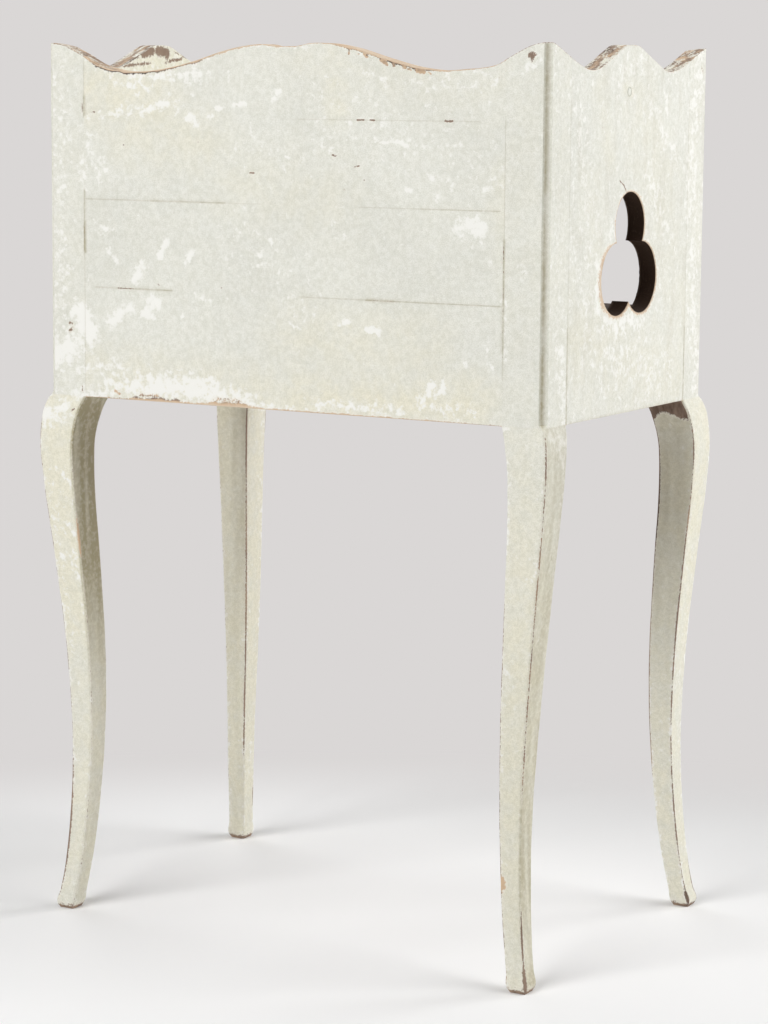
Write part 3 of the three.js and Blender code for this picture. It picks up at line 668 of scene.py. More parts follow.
# Chalky paint over a white ground over wood, worn as the fields say
def painted(name, grain):
    s = Shader(name)
    wear, tone, chalk, stain, cream = (s.field(field) for field in FIELDS)
    along = GRAIN[grain]
    cloud = s.noise(13, 3, 0.5)
    blotch = s.noise(60, 5, 0.6, offset=(7, 7, 7))
    mottle = s.noise(300, 5, 0.65, offset=(3, 1, 2))
    grit = s.noise(1300, 2, 0.5)
    streak = s.noise(150, 4, 0.6, stretch=along)
    fibre = s.noise(1400, 3, 0.6, stretch=along)

    # The green-grey coat, warmer in clouds, finely mottled
    coat = s.mix(s.step(cloud, 0.36, 0.64), SAGE_GREY, SAGE)
    warmth = s.math("MULTIPLY", s.math("ADD", cream, 0.2), s.step(blotch, 0.36, 0.62, 0.6, 1.0), clamp=True)
    coat = s.mix(warmth, coat, CREAM)
    coat = s.mix(s.step(mottle, 0.32, 0.68), coat, SHADE, "MULTIPLY")
    coat = s.mix(s.step(grit, 0.35, 0.65), coat, SHADE, "MULTIPLY")

    # White ground, and on the legs' arrises a painted highlight: flecks that thin out where the field of
    # white ground and painted highlight is weak and join where it is strong
    flecked = s.math("MULTIPLY_ADD", chalk, 0.36, s.noise(200, 6, 0.66, offset=(1, 8, 3)))
    ground = s.step(flecked, 0.62, 0.78)
    coat = s.mix(ground, coat, WHITE_GROUND)

    # Dirt in the joints and painted shade in the legs' hollows and under the case, both khaki, then bare wood
    # with a pale halo round it
    dirt_and_shade_mix = s.math("MULTIPLY", stain, s.step(s.noise(240, 4, 0.6, offset=(2, 5, 1)), 0.3, 0.62, 0.55, 1.0))
    coat = s.mix(s.math("MINIMUM", dirt_and_shade_mix, 0.9), coat, KHAKI)
    broken = s.ragged(wear, s.noise(520, 5, 0.65, offset=(4, 4, 9)), 0.9)
    coat = s.mix(s.step(broken, 0.28, 0.44, 0.0, 0.5), coat, PALE_CREAM)
    bare = s.step(broken, 0.46, 0.6)
    toned = s.ragged(tone, s.noise(180, 4, 0.6, stretch=along), 0.8)
    timber = s.mix(s.step(toned, -0.6, 0.0), BEIGE, TAN)
    timber = s.mix(s.step(toned, 0.0, 0.5), timber, WOOD_BROWN)
    timber = s.mix(s.step(toned, 0.45, 1.0), timber, WOOD_DARK)
    timber = s.mix(s.step(fibre, 0.55, 0.8, 0.0, 0.3), timber, WOOD_BROWN)
    s.finish(s.mix(bare, coat, timber), s.math("MULTIPLY_ADD", mottle, 0.25, 0.62), 0.25)

    # Relief: streaks and grit in the paint, which stands above the wood, and the wood's fibres
    relief = s.math("MULTIPLY", streak, 0.35)
    for height, amount in ((grit, 0.3), (ground, 0.2), (bare, -0.7), (s.math("MULTIPLY", fibre, bare), 0.4)):
        relief = s.math("MULTIPLY_ADD", height, amount, relief)
    s.bump(relief, 0.0003, 0.5)
    return s.material


# Bare wood with its grain along one axis
def wood(name, grain, dark, light, worn):
    s = Shader(name)
    along = GRAIN[grain]
    figure = s.noise(45, 5, 0.6, stretch=along)
    rings = s.noise(260, 4, 0.65, stretch=along)
    fibre = s.noise(1500, 3, 0.6, stretch=along)
    dust = s.noise(30, 5, 0.6)
    colour = s.mix(s.step(figure, 0.3, 0.7), linear(dark), linear(light))
    colour = s.mix(s.step(rings, 0.45, 0.75, 0.0, 0.55), colour, linear(dark))
    colour = s.mix(s.step(fibre, 0.5, 0.75, 0.0, 0.45), colour, linear(dark))
    colour = s.mix(s.step(dust, 0.5, 0.8, 0.0, 0.35), colour, linear(worn))
    s.finish(colour, s.step(rings, 0.2, 0.8, 0.62, 0.82), 0.3)
    s.bump(s.math("MULTIPLY_ADD", fibre, 0.5, rings), 0.0004, 0.5)
    return s.material


# The same wood with its grain along X and along Y
def woods(name, *colours):
    return {grain: wood(f"{name}_{grain.lower()}", grain, *colours) for grain in "XY"}


PAINT = {grain: painted(f"chalky_paint_{grain.lower()}", grain) for grain in "XZ"}
BARE = woods("bare_wood", (58, 41, 30), (104, 76, 54), (128, 106, 84))
DRAWER = woods("drawer_wood", (112, 80, 50), (168, 128, 86), (176, 148, 112))
PEG = wood("peg_wood_y", "Y", (150, 112, 72), (204, 168, 120), (214, 194, 160))


# 1 on a line, falling off with the distance from it
def near(off, reach):
    return np.exp(-((off / reach) ** 2))


# Wear of an edge: bare on the edge itself, ragged just beside it
def edge_wear(below, strength, reach):
    return strength * near(np.maximum(below, 0), reach)


# Raises a field to values where they are higher
def lift(made, name, values):
    made[name] = np.maximum(made[name], values)


# Adds marks of bare wood to the fields of a piece, with a tone where they beat the wear there
def marked(made, marks, tone, least=0.4, strength=1.0):
    made["tone"] = np.where(marks > np.maximum(made["wear"], least), tone, made["tone"])
    lift(made, "wear", strength * marks)


# Rounding of an edge in the open, and of one on a closed joint: more where dirt has opened it
EDGE = 0.7


def joint_radius(u, v, seams):
    return 0.03 + 0.2 * np.clip(stroked(u, v, seams) - 0.3, 0, 1)


# Lifts a net above a height so that its top follows an outline
def raised(stretch_from, top):
    def warp(u, v):
        share = (v - stretch_from) / (HEIGHT - stretch_from)
        return np.where(v > stretch_from, stretch_from + share * (top(u) - stretch_from), v)

    return warp


# Worn arrises of the back by the photo's columns: width of the bare line in millimetres, and
# tone of the wood at its far border
WORN_TOP = [
    (45, 0.3, 0), (82, 0.5, 0), (90, 1.4, 0.4), (97, 2.4, 1.1), (150, 2.4, 1), (165, 2, 0.6), (205, 1.8, 0.5),
    (225, 1.6, 0), (262, 1, 0), (300, 0.6, 0), (335, 0.7, 0.2), (348, 1.6, 1), (425, 1.7, 1), (440, 1.2, 0.2),
    (470, 0.8, 0), (500, 0.7, 0.2), (535, 0.8, 0.3),
]
WORN_FOOT = [
    (80, 0.5, 0.2), (92, 0.9, 0.2), (130, 1.2, 0.3), (136, 3.4, 0.6), (178, 3.2, 0.6), (185, 1.2, 0.3),
    (200, 1.5, 0.3), (207, 3.4, 0.2), (244, 3.6, 0.3), (254, 1.6, 0.3), (300, 1.2, 0.1),
    (440, 0.9, 0.1), (500, 0.6, 0.3),
]
# Photo columns between which the gallery's sawn edge turns grey, and photo rows of both edges
GREY_COLUMNS = (125, 100)
TOP_ROW, GREY_ROW, FOOT_ROW = 55, 60, 410


def by_column(table, row):
    places = [on_plane(1, Y1, column, row)[0] for column, *_ in table]
    widths, tones = (np.array([line[k] for line in table]) for k in (1, 2))
    order = np.argsort(places)
    return np.array(places)[order], widths[order], tones[order]


TOP_LINE, FOOT_LINE = by_column(WORN_TOP, TOP_ROW), by_column(WORN_FOOT, FOOT_ROW)
GREY_TOP = [on_plane(1, Y1, column, GREY_ROW)[0] for column in GREY_COLUMNS]

# Depth in which a board's surface counts as its outer face, and depth of the sawn edges' borders
SKIN = 1.2
SAWN_DEPTH, SAWN_BORDER = 0.8, 0.3
# Tones of bare wood: a brown nick, and the unpainted inside of the back and of the sides
NICK_TONE = 0.5
BACK_INSIDE_TONE, SIDE_INSIDE_TONE, LEG_INSIDE_TONE = 0.72, 0.75, 0.74
# How much bare wood a nick shows
NICK_WEAR = 0.86


# Wear that is bare as far as the line is wide, and its tone: darker at the far border
def worn_line(x, off, line, uneven):
    places, widths, tones = line
    width = np.interp(x, places, widths) * uneven
    wear = 0.78 * np.exp(-0.44 * (off / width) ** 2)
    return wear, -0.4 + (np.interp(x, places, tones) + 0.4) * ramp(off / width, 0.3, 0.8)


# Fields of the back boards: the outer face follows the photo, the inside is bare below the tray
def back_fields(spots):
    x, y, z = spots.T
    outer = y > Y1 - PANEL + 1.5
    face = y > Y1 - SKIN
    below = back_top(x) - z
    sawn = (below < SAWN_DEPTH) & (y < Y1 - SAWN_BORDER) & (y > Y1 - PANEL + SAWN_BORDER)
    ragged = uneven(spots, 0.45, (4, 4, 4), 17)
    top, top_tone = worn_line(x, np.hypot(below, Y1 - y), TOP_LINE, ragged)
    foot, foot_tone = worn_line(x, np.hypot(z - KNEE, Y1 - y), FOOT_LINE, ragged)
    top = np.maximum(top, edge_wear(np.hypot(below, y - Y1 + PANEL), 0.5, 0.8))
    nick, chip, seam = (stroked(x, z, strokes) for strokes in (BACK_NICKS, BACK_CHIPS, BACK_SEAM_WOOD))
    wear = np.maximum.reduce([top, foot, NICK_WEAR * face * nick, face * chip, 0.9 * face * seam])
    inside = (~outer) & (z < TRAY_TOP)
    wear = np.where(inside | (z < KNEE + 0.3), 1.0, wear)
    grey = ramp(x, *GREY_TOP)
    wear = np.where(sawn, 0.74 - 0.16 * grey + 0.14 * rough(spots, (9, 3, 9), 19), wear)
    tone = np.where(top > foot, top_tone, foot_tone)
    marks = np.maximum.reduce([nick, chip, seam]) > np.maximum(0.3, np.maximum(top, foot))
    tone = np.where(marks, 0.15 + 0.25 * rough(spots, (3, 3, 3), 5), tone)
    tone = np.where(marks & (np.maximum(nick, seam) > chip), NICK_TONE, tone)
    tone = np.where(sawn, -0.3 + 0.6 * grey + 0.5 * rough(spots, (16, 2.5, 16), 23), tone)
    chalk = np.where(face, stroked(x, z, BACK_WHITES), 0.3 * (~outer & ~inside))
    return {
        "wear": wear,
        "tone": np.where(inside, BACK_INSIDE_TONE, tone),
        "chalk": np.maximum(chalk, 0.36 * face * edge_wear(below, 1, 6)),
        "stain": face * stroked(x, z, BACK_SEAMS),
        "cream": np.where(face, stroked(x, z, BACK_CREAMS), 0.6),
    }


def back_boards():
    nodes = [f"back_board_{word}" for word in ("bottom", "lower", "upper", "top")]
    fine = [*BACK_NICKS, *BACK_CHIPS, *BACK_SEAM_WOOD]
    stretch_from = HEIGHT - BACK_DIP - 6
    for number, node in enumerate(nodes):
        last = node == nodes[-1]
        foot = corners(node)[0][2] - SEAM * (number > 0)
        head = HEIGHT if last else corners(nodes[number + 1])[0][2] - 2 * SEAM
        here = [stroke for stroke in fine if foot - 3 < stroke[1] < head + 3]
        us = grid_lines([MID_X - POST_X + SEAM, MID_X + POST_X - SEAM], EDGE, small_marks(here, 0))
        knots = [foot, stretch_from, head] if last else [foot, head]
        vs = grid_lines(knots, EDGE, small_marks(here, 1))

        def radius(u, v):
            exposed = (last & (v > stretch_from)) | (v < KNEE + 0.5)
            exposed &= np.abs(u - MID_X) < POST_X - 1
            return np.where(exposed, EDGE, joint_radius(u, v, BACK_SEAMS))

        net = Net(us, vs, raised(stretch_from, back_top) if last else None)
        painted_board(node, net, PANEL, radius, STANDS["back"], "X", back_fields)


# Circles of the trefoil in the plane of a side: middle along Y, middle along Z and radius
LOW_LOBE = LOW_LOBE_SHARE * NICHE
LOW_LOBE_Z = NICHE_FLOOR + TREFOIL_RISE_SHARE * NICHE + LOW_LOBE
LOBES = [
    (MID_Y, LOW_LOBE_Z + LOBE_RISE_SHARE * NICHE, TOP_LOBE_SHARE * NICHE),
    (MID_Y - LOBE_SPREAD_SHARE * NICHE, LOW_LOBE_Z, LOW_LOBE),
    (MID_Y + LOBE_SPREAD_SHARE * NICHE, LOW_LOBE_Z, LOW_LOBE),
]
TREFOIL_MIDDLE = np.array([MID_Y, LOW_LOBE_Z + 0.4 * LOBE_RISE_SHARE * NICHE])


# How far the trefoil reaches from its middle in given directions
def trefoil_reach(ways):
    reach = np.zeros(len(ways))
    for y, z, radius in LOBES:
        off = np.array([y, z]) - TREFOIL_MIDDLE
        across = ways @ off
        reach = np.maximum(reach, across + np.sqrt(across**2 - off @ off + radius**2))
    return reach


# Directions of the three cusps, where two lobes meet
def cusps():
    ways = []
    for first, second in itertools.combinations(LOBES, 2):
        a, b = np.array(first[:2]), np.array(second[:2])
        gap = np.linalg.norm(b - a)
        along = (gap**2 + first[2] ** 2 - second[2] ** 2) / (2 * gap)
        aside = math.sqrt(first[2] ** 2 - along**2)
        unit = (b - a) / gap
        ends = [a + unit * along + side * aside * np.array([-unit[1], unit[0]]) for side in (-1, 1)]
        far = max(ends, key=lambda end: np.linalg.norm(end - TREFOIL_MIDDLE))
        ways.append((far - TREFOIL_MIDDLE) / np.linalg.norm(far - TREFOIL_MIDDLE))
    return ways


def trefoil_outline(outer):
    ways = outer - TREFOIL_MIDDLE
    ways /= np.linalg.norm(ways, axis=1)[:, None]
    for cusp in cusps():
        ways[(ways @ cusp).argmax()] = cusp
    return TREFOIL_MIDDLE + ways * trefoil_reach(ways)[:, None]


def round_outline(middle, radius):
    def outline(outer):
        ways = outer - middle
        return middle + radius * ways / np.linalg.norm(ways, axis=1)[:, None]

    return outline


def trefoil_distance(y, z):
    return np.minimum.reduce([np.hypot(y - ly, z - lz) - radius for ly, lz, radius in LOBES])


# Brown patches worn into the paint inside the right side's gallery, seen over the back's left
# dip: photo pixels of both ends, radius in millimetres, strength
INNER_PATCHES = placed([
    (144, 53, 152, 51, 5, 0.9), (158, 51, 167, 53, 5, 0.9), (124, 66, 150, 63, 2.4, 0.68),
    (166, 62, 182, 59, 2.6, 0.68), (108, 66, 120, 62, 2, 0.6), (174, 52, 186, 58, 2, 0.6),
    (128, 60, 142, 58, 2, 0.5),
], axis=0, level=X1 - PANEL)


# Width of the bare wood round the trefoil: more low down and beside the right lobe
def rim_reach(y, z):
    beside = ramp(y, LOBES[2][0] + 4, LOBES[2][0] + LOW_LOBE) * ramp(z, HEIGHT, TREFOIL_MIDDLE[1] + 8)
    return 2.5 + 5.5 * beside + 1.6 * ramp(z, LOW_LOBE_Z, LOW_LOBE_Z - 20)


def side_fields(sign):
    outer_x = X0 if sign < 0 else X1

    def fields(spots):
        x, y, z = spots.T
        deep = np.abs(x - outer_x)
        face = deep < SKIN
        below = side_top(y) - z
        rim = trefoil_distance(y, z)
        sawn = (below < SAWN_DEPTH) & (deep > SAWN_BORDER) & (deep < PANEL - SAWN_BORDER)
        top = edge_wear(np.hypot(below, np.minimum(deep, PANEL - deep)), 0.58, 0.9)
        foot = edge_wear(z - KNEE, 0.55, 0.9)
        nick = face * stroked(y, z, SIDE_NICKS) * (sign < 0)
        chip = face * stroked(y, z, SIDE_RIM_CHIPS)
        patch = (deep > PANEL - SKIN) * (z > TRAY_TOP) * stroked(y, z, INNER_PATCHES)
        reach = rim_reach(y, z) * uneven(spots, 0.35, (9, 9, 9), 15)
        around = face * edge_wear(rim, 0.68, reach)
        wear = np.maximum.reduce([top, foot, NICK_WEAR * nick, chip, patch, around])
        inside = (deep > PANEL - 1.5) & (z < TRAY_TOP)
        cut = (rim < 0.3) & (deep > 0.6)
        wear = np.where(inside | cut | (z < KNEE + 0.3), 1.0, wear)
        tone = np.where(nick > np.maximum(top, chip), NICK_TONE, 0.05)
        tone = np.where(face & (rim < 12) & (nick < 0.3), -0.3, tone)
        streaks = 0.4 + 0.4 * rough(spots, (2.5, 14, 14), 23) + 0.3 * ramp(deep, 9, 14)
        tone = np.where(sawn, streaks, np.where(patch > 0.3, NICK_TONE, tone))
        whites = np.where(face, 0.24 + 0.7 * stroked(y, z, SIDE_WHITES), 0.35)
        return {
            "wear": np.where(sawn, 0.54 + 0.2 * rough(spots, (2.5, 12, 12), 19), wear),
            "tone": np.where(inside, SIDE_INSIDE_TONE, np.where(cut, 1.1, tone)),
            "chalk": np.maximum(whites, 0.45 * face * edge_wear(rim, 1, 6)),
            "stain": face * np.maximum(stroked(y, z, SIDE_SEAMS), 0.17 * rough(spots, (9, 7, 26), 25)),
            "cream": np.where(face, 0.45 * stroked(y, z, SIDE_CREAMS) - 0.05, 0.6),
        }

    return fields


# Boxes round the trefoil and round a peg's bore, in which the grid makes way for rings
TREFOIL_BOX = (64, 64, 52, 62)
BORE_REACH = 7


def side_panels():
    low, high = MID_Y - POST_Y + SEAM, MID_Y + POST_Y - SEAM
    (middle_y, middle_z), (before, after, under, over) = TREFOIL_MIDDLE, TREFOIL_BOX
    around = (middle_y - before, middle_y + after, middle_z - under, middle_z + over)
    stretch_from = HEIGHT - SIDE_DIP - 4
    fine = [*SIDE_NICKS, *SIDE_RIM_CHIPS]
    for sign, word in ((-1, "left"), (1, "right")):
        peg_low, peg_high = corners(f"peg_tray_{word}")
        bore = (peg_low + peg_high)[1:] / 2
        bore_box = (bore[0] - BORE_REACH, bore[0] + BORE_REACH, bore[1] - BORE_REACH, bore[1] + BORE_REACH)
        us = grid_lines([low, around[0], *bore_box[:2], around[1], high], EDGE, small_marks(fine, 0))
        knots = [KNEE, *around[2:], *bore_box[2:], stretch_from, HEIGHT]
        vs = grid_lines(knots, EDGE, small_marks(fine, 1))

        def radius(u, v):
            joint = (np.abs(u - MID_Y) > POST_Y - 1) & (v < stretch_from)
            bored = np.hypot(u - bore[0], v - bore[1]) < BORE_REACH
            return np.where(joint, joint_radius(u, v, SIDE_SEAMS), np.where(bored, 0.12, EDGE))

        net = Net(us, vs, raised(stretch_from, side_top))
        net.hole(around, trefoil_outline, 16, 1.2)
        net.hole(bore_box, round_outline(bore, (peg_high - peg_low)[2] / 2 + 0.05), 4, 0.9)
        painted_board(f"side_panel_{word}", net, PANEL, radius, STANDS[word], "Z", side_fields(sign))


# Sides of the legs along X and Y, and how each arris is worn: strength, and the heights between
# which it is so, for the arrises in this order
ARRISES = ("outer", "flank_y", "inner", "flank_x")
LEGS = {
    "leg_front_left": ((-1, -1), (0.5, 0, 120), (0.5, 0, 300), (0.82, 120, 434), (0.66, 0, 434)),
    "leg_front_right": ((1, -1), (0.5, 0, 200), (0.7, 340, 434), (0.72, 90, 434), (0.5, 0, 434)),
    "leg_back_left": ((-1, 1), (0.62, 150, 434), (0.62, 0, 310), (0.5, 0, 400), (0.36, 0, 434)),
    "leg_back_right": ((1, 1), (0.62, 20, 420), (0.46, 0, 390), (0.56, 200, 434), (0.5, 0, 434)),
}
# Chips on single arrises: leg, arris, height, half height, reach and tone
LEG_CHIPS = [
    ("leg_back_left", "flank_y", 82, 6, 4.5, 0.1), ("leg_back_left", "outer", 10, 12, 2.2, 0.5),
    ("leg_front_left", "flank_x", 9, 7, 2.4, 0.7), ("leg_back_right", "outer", 70, 60, 2.2, 0.5),
    ("leg_front_left", "outer", 22, 16, 2.2, 0.45), ("leg_front_left", "inner", 350, 50, 1.8, 0.7),
    ("leg_front_left", "flank_x", 250, 30, 1.2, 0.5), ("leg_front_right", "flank_y", 40, 12, 2.0, 0.4),
    ("leg_back_right", "flank_x", 200, 20, 2.4, 0.4), ("leg_front_right", "outer", 120, 14, 3.0, 0.35),
    ("leg_back_right", "flank_y", 318, 16, 1.5, 0.0), ("leg_back_left", "outer", 40, 22, 1.2, 0.5),
]
# Bare wood that shows under the case on the inner faces, and dirt with painted shade on the faces to the left
# and to the back, at the top and at the foot of each leg; the painted shade darkens the faces under the case
UNDER_CASE = {"leg_front_left": 1.1}
DIRT_AND_SHADE = {
    "leg_back_left": (0.4, 0.5, 0.03, 0.14), "leg_front_left": (0, 0, 0.34, 0),
    "leg_back_right": (0.95, 0.22, 0, 0), "leg_front_right": (0, 0, 0.34, 0.2),
}
# Soft pale patches on the face of the back right leg
LEG_WHITES = on_back([
    (66, 474, 76, 488, 7, 0.55), (68, 524, 78, 538, 6, 0.55), (74, 556, 82, 600, 5, 0.6),
    (80, 600, 87, 640, 5, 0.6), (55, 510, 62, 560, 4, 0.55), (62, 560, 68, 640, 3, 0.4),
    (50, 420, 66, 410, 8, 0.6), (84, 650, 90, 800, 5, 0.45),
])
# The same on the left face of the back left leg, and an olive crack in it
KNEE_WHITES = on_side([(549, 440, 562, 446, 6, 0.75), (552, 446, 560, 474, 5, 0.65)])
LEG_CRACKS = on_side([
    (551, 556, 546, 581, 0.9, 1), (560, 470, 566, 520, 2.4, 0.35), (556, 478, 553, 500, 1.5, 0.3),
])
# Levels of the mesh at the foot
FOOT_LEVELS = (0, 0.8, 1.8, 3, 4.5)

# Turns of the arrises in degrees: round, and nearly square where a post meets the boards
ROUND_TURNS = (0, 18, 36, 54, 72, 90)
SQUARE_TURNS = (0, 2, 4, 86, 88, 90)
# Columns along each face of a leg; two lie where the thickness of the gallery ends
NOTCH_SHARE = PANEL / POST
FACE_SHARES = (
    0.02, 0.05, 0.1, 0.17, 0.25, 0.33, NOTCH_SHARE, 0.5, 1 - NOTCH_SHARE, 0.67, 0.75, 0.83, 0.9,
    0.95, 0.98,
)
# Height of the ledge at the tray, and rows and rounding of the notched post top above it
LEDGE = 0.05
CROWN_ROWS = 14
CROWN_ARRIS = 0.15
CAP_SHARES = (0.02, 0.2, 0.4, 0.6, 0.8, 0.98)
SOLE_SHARES = (0.1, 0.2, 0.35, 0.7, 0.97)
# Depth of a front post's outer strip that keeps its place above the tray
KEPT_DEPTH = 7
# Rounding of an arris that lies flush with a board, and of the others by the case
FLUSH = 0.08
CASE_ROUNDING, INNER_ROUNDING = 0.9, 0.6


# Extents of a leg's square section in the CAD model, level by level up to the knee
def leg_levels(node):
    vertices = np.array([vertex.co for vertex in frame["nodes"][node].data.vertices]) / MM
    heights = vertices[:, 2].round(1)
    levels = []
    for height in np.unique(heights):
        if height < KNEE - 1:
            ring = vertices[heights == height]
            levels.append((height, *ring.min(0)[:2], *ring.max(0)[:2]))
    return np.array(levels)


# A post above the tray: a back post keeps two strips as thick as the boards, a front post one
def notched(ring, side_x, side_y):
    out = np.array([MID_X + side_x * HALF_X, MID_Y + side_y * HALF_Y])
    dx, dy = np.abs(ring - out)[..., 0], np.abs(ring - out)[..., 1]
    if side_y < 0:
        squeezed = KEPT_DEPTH + (dx - KEPT_DEPTH) * (PANEL - KEPT_DEPTH) / (POST - KEPT_DEPTH)
        new_x, new_y = np.where(dx < KEPT_DEPTH, dx, squeezed), dy
    else:
        inner = (dx > PANEL) & (dy > PANEL)
        first = inner & (dx >= dy)
        second = inner & (dx < dy)
        new_x = np.where(first, POST + PANEL - dy, np.where(second, PANEL, dx))
        new_y = np.where(second, POST + PANEL - dx, np.where(first, PANEL, dy))
    return np.stack([out[0] - side_x * new_x, out[1] - side_y * new_y], -1)


# Levels of a leg's mesh, and how many of them lie below the tray
def leg_heights():
    heights = np.concatenate([
        FOOT_LEVELS, np.arange(7, KNEE - 12, 2.5), np.arange(KNEE - 12, KNEE + 12, 1.2),
        np.arange(KNEE + 12, TRAY_TOP - 2, 3), [TRAY_TOP - LEDGE],
    ])
    crown = TRAY_TOP + np.linspace(0, 1, CROWN_ROWS) * (HEIGHT - TRAY_TOP)
    return np.concatenate([heights, crown]), len(heights)


# Places of the four arrises at each level, as if the leg had sharp ones
def leg_corners(node, side_x, side_y, heights):
    post_x = sorted((MID_X + side_x * POST_X, MID_X + side_x * HALF_X))
    post_y = sorted((MID_Y + side_y * POST_Y, MID_Y + side_y * HALF_Y))
    known = np.vstack([leg_levels(node), (KNEE, post_x[0], post_y[0], post_x[1], post_y[1])])
    spans = [smooth(known[:, [0, k]], np.minimum(heights, KNEE)) for k in (1, 2, 3, 4)]
    x_out, x_in = (spans[2], spans[0]) if side_x > 0 else (spans[0], spans[2])
    y_out, y_in = (spans[3], spans[1]) if side_y > 0 else (spans[1], spans[3])
    places = ((x_out, y_out), (x_in, y_out), (x_in, y_in), (x_out, y_in))
    return {name: np.stack(pair, -1) for name, pair in zip(ARRISES, places)}


def leg_mesh(node, side_x, side_y):
    heights, below_tray = leg_heights()
    corner = leg_corners(node, side_x, side_y, heights)
    hollow = ramp(heights, KNEE - 2, KNEE + 3)[:, None]
    above = ramp(heights, KNEE - 3, KNEE + 1)[:, None]
    upright = np.stack([heights * 0, heights * 0, heights], -1)
    free = uneven(upright, 0.35, (9, 9, 16), 11)[:, None]
    ends = {"outer": COVE, "flank_y": FLUSH if side_y > 0 else CASE_ROUNDING, "inner": INNER_ROUNDING}
    ends["flank_x"] = FLUSH
    radii = {name: free + (end - free) * (hollow if name == "outer" else above) for name, end in ends.items()}
    columns = []
    for number, name in enumerate(ARRISES):
        following = ARRISES[(number + 1) % 4]
        here, after, before = corner[name], corner[following], corner[ARRISES[number - 1]]
        came = (here - before) / np.linalg.norm(here - before, axis=1)[:, None]
        goes = (after - here) / np.linalg.norm(after - here, axis=1)[:, None]
        radius = radii[name]
        tight = above if ends[name] == FLUSH else 0 * above
        for turn, square in zip(ROUND_TURNS, SQUARE_TURNS):
            angle = np.radians(turn + (square - turn) * tight)
            convex = here + radius * ((goes - came) - goes * np.cos(angle) + came * np.sin(angle))
            concave = here + radius * (-came * np.cos(angle) + goes * np.sin(angle))
            columns.append(convex + (concave - convex) * (hollow if name == "outer" else 0))
        start, end = columns[-1], after - radii[following] * goes
        columns += [start + (end - start) * share for share in FACE_SHARES]
    ring = np.stack(columns, 1)
    ring[below_tray:] = notched(ring[below_tray:], side_x, side_y)
    roof = np.minimum(back_top(ring[..., 0]), side_top(ring[..., 1]))
    level = np.broadcast_to(heights[:, None], ring.shape[:2]).copy()
    share = (heights[below_tray:, None] - TRAY_TOP) / (HEIGHT - TRAY_TOP)
    level[below_tray:] = TRAY_TOP + share * (roof[below_tray:] - CROWN_ARRIS - TRAY_TOP)
    return heights, np.concatenate([ring, level[..., None]], -1), corner


# Closes the foot: rings that shrink to a point under the leg
def leg_foot(spots, around):
    first = spots[:around]
    middle = first.mean(0)
    rings = [first + (middle - first) * share for share in SOLE_SHARES]
    count = len(spots)
    ids = [np.arange(around), *(count + n * around + np.arange(around) for n in range(len(rings)))]
    faces = []
    for outer, inner in zip(ids, ids[1:]):
        faces += np.stack([np.roll(outer, -1), outer, inner, np.roll(inner, -1)], -1).tolist()
    tip = count + len(rings) * around
    faces += [[tip, after, here] for here, after in zip(ids[-1], np.roll(ids[-1], -1))]
    return np.vstack([spots, *rings, middle]), faces


# Closes the top: rungs between the two chains of the last ring that run from flank to flank
def leg_crown(spots, last, around):
    start = len(ROUND_TURNS) * 3 // 2 + len(FACE_SHARES)
    half = around // 2
    one_side = [last + (start - 1 - k) % around for k in range(half)]
    other_side = [last + start + k for k in range(half)]
    flat = []
    for share in CAP_SHARES:
        row = spots[one_side[1:-1], :2] * (1 - share) + spots[other_side[1:-1], :2] * share
        flat.append(np.hstack([row, np.minimum(back_top(row[:, 0]), side_top(row[:, 1]))[:, None]]))
    count = len(spots)
    rungs = [[None, *(count + n * (half - 2) + np.arange(half - 2)), None] for n in range(len(flat))]
    rows = [one_side, *rungs, other_side]
    faces = []
    for one, other in zip(rows, rows[1:]):
        faces += [[one[k + 1], one[k], other[k], other[k + 1]] for k in range(1, half - 2)]
    firsts, lasts = ([row[k] for row in rungs] for k in (1, -2))
    faces.append([one_side[1], one_side[0], other_side[0], other_side[1], *firsts[::-1]])
    faces.append([other_side[-2], other_side[-1], one_side[-1], one_side[-2], *lasts])
    return np.vstack([spots, *flat]), faces


# Wear along the arrises of a leg with its chips, and the distance to the nearest arris
def arris_wear(node, places, heights, corner):
    z = places[:, 2]
    made = {"wear": np.zeros(len(places)), "tone": np.full(len(places), 0.42)}
    nearest = np.full(len(places), np.inf)
    for number, (name, (strength, lowest, highest)) in enumerate(zip(ARRISES, LEGS[node][1:])):
        off = np.hypot(*offsets(places, heights, corner[name]))
        nearest = np.minimum(nearest, off)
        within = ramp(z, lowest - 25, lowest + 15) * (1 - ramp(z, highest - 15, highest + 10))
        ragged = uneven(places * (0, 0, 1), 0.22, (9, 9, 13), 21 + number)
        line = (0.3 + (strength - 0.3) * within) * ragged * near(off, 1.7) * (z < KNEE)
        lift(made, "wear", line)
        for chipped, arris, height, half, reach, chip_tone in LEG_CHIPS:
            if (chipped, arris) == (node, name):
                chip = 1.1 * np.clip(1 - 0.5 * np.hypot((z - height) / half, off / reach), 0, 1)
                marked(made, chip, chip_tone, least=0.35)
    return made, nearest


# Distances of places along X and along Y from a line that has a point at each height
def offsets(places, heights, line):
    return [at - np.interp(places[:, 2], heights, to) for at, to in zip(places.T, line.T)]


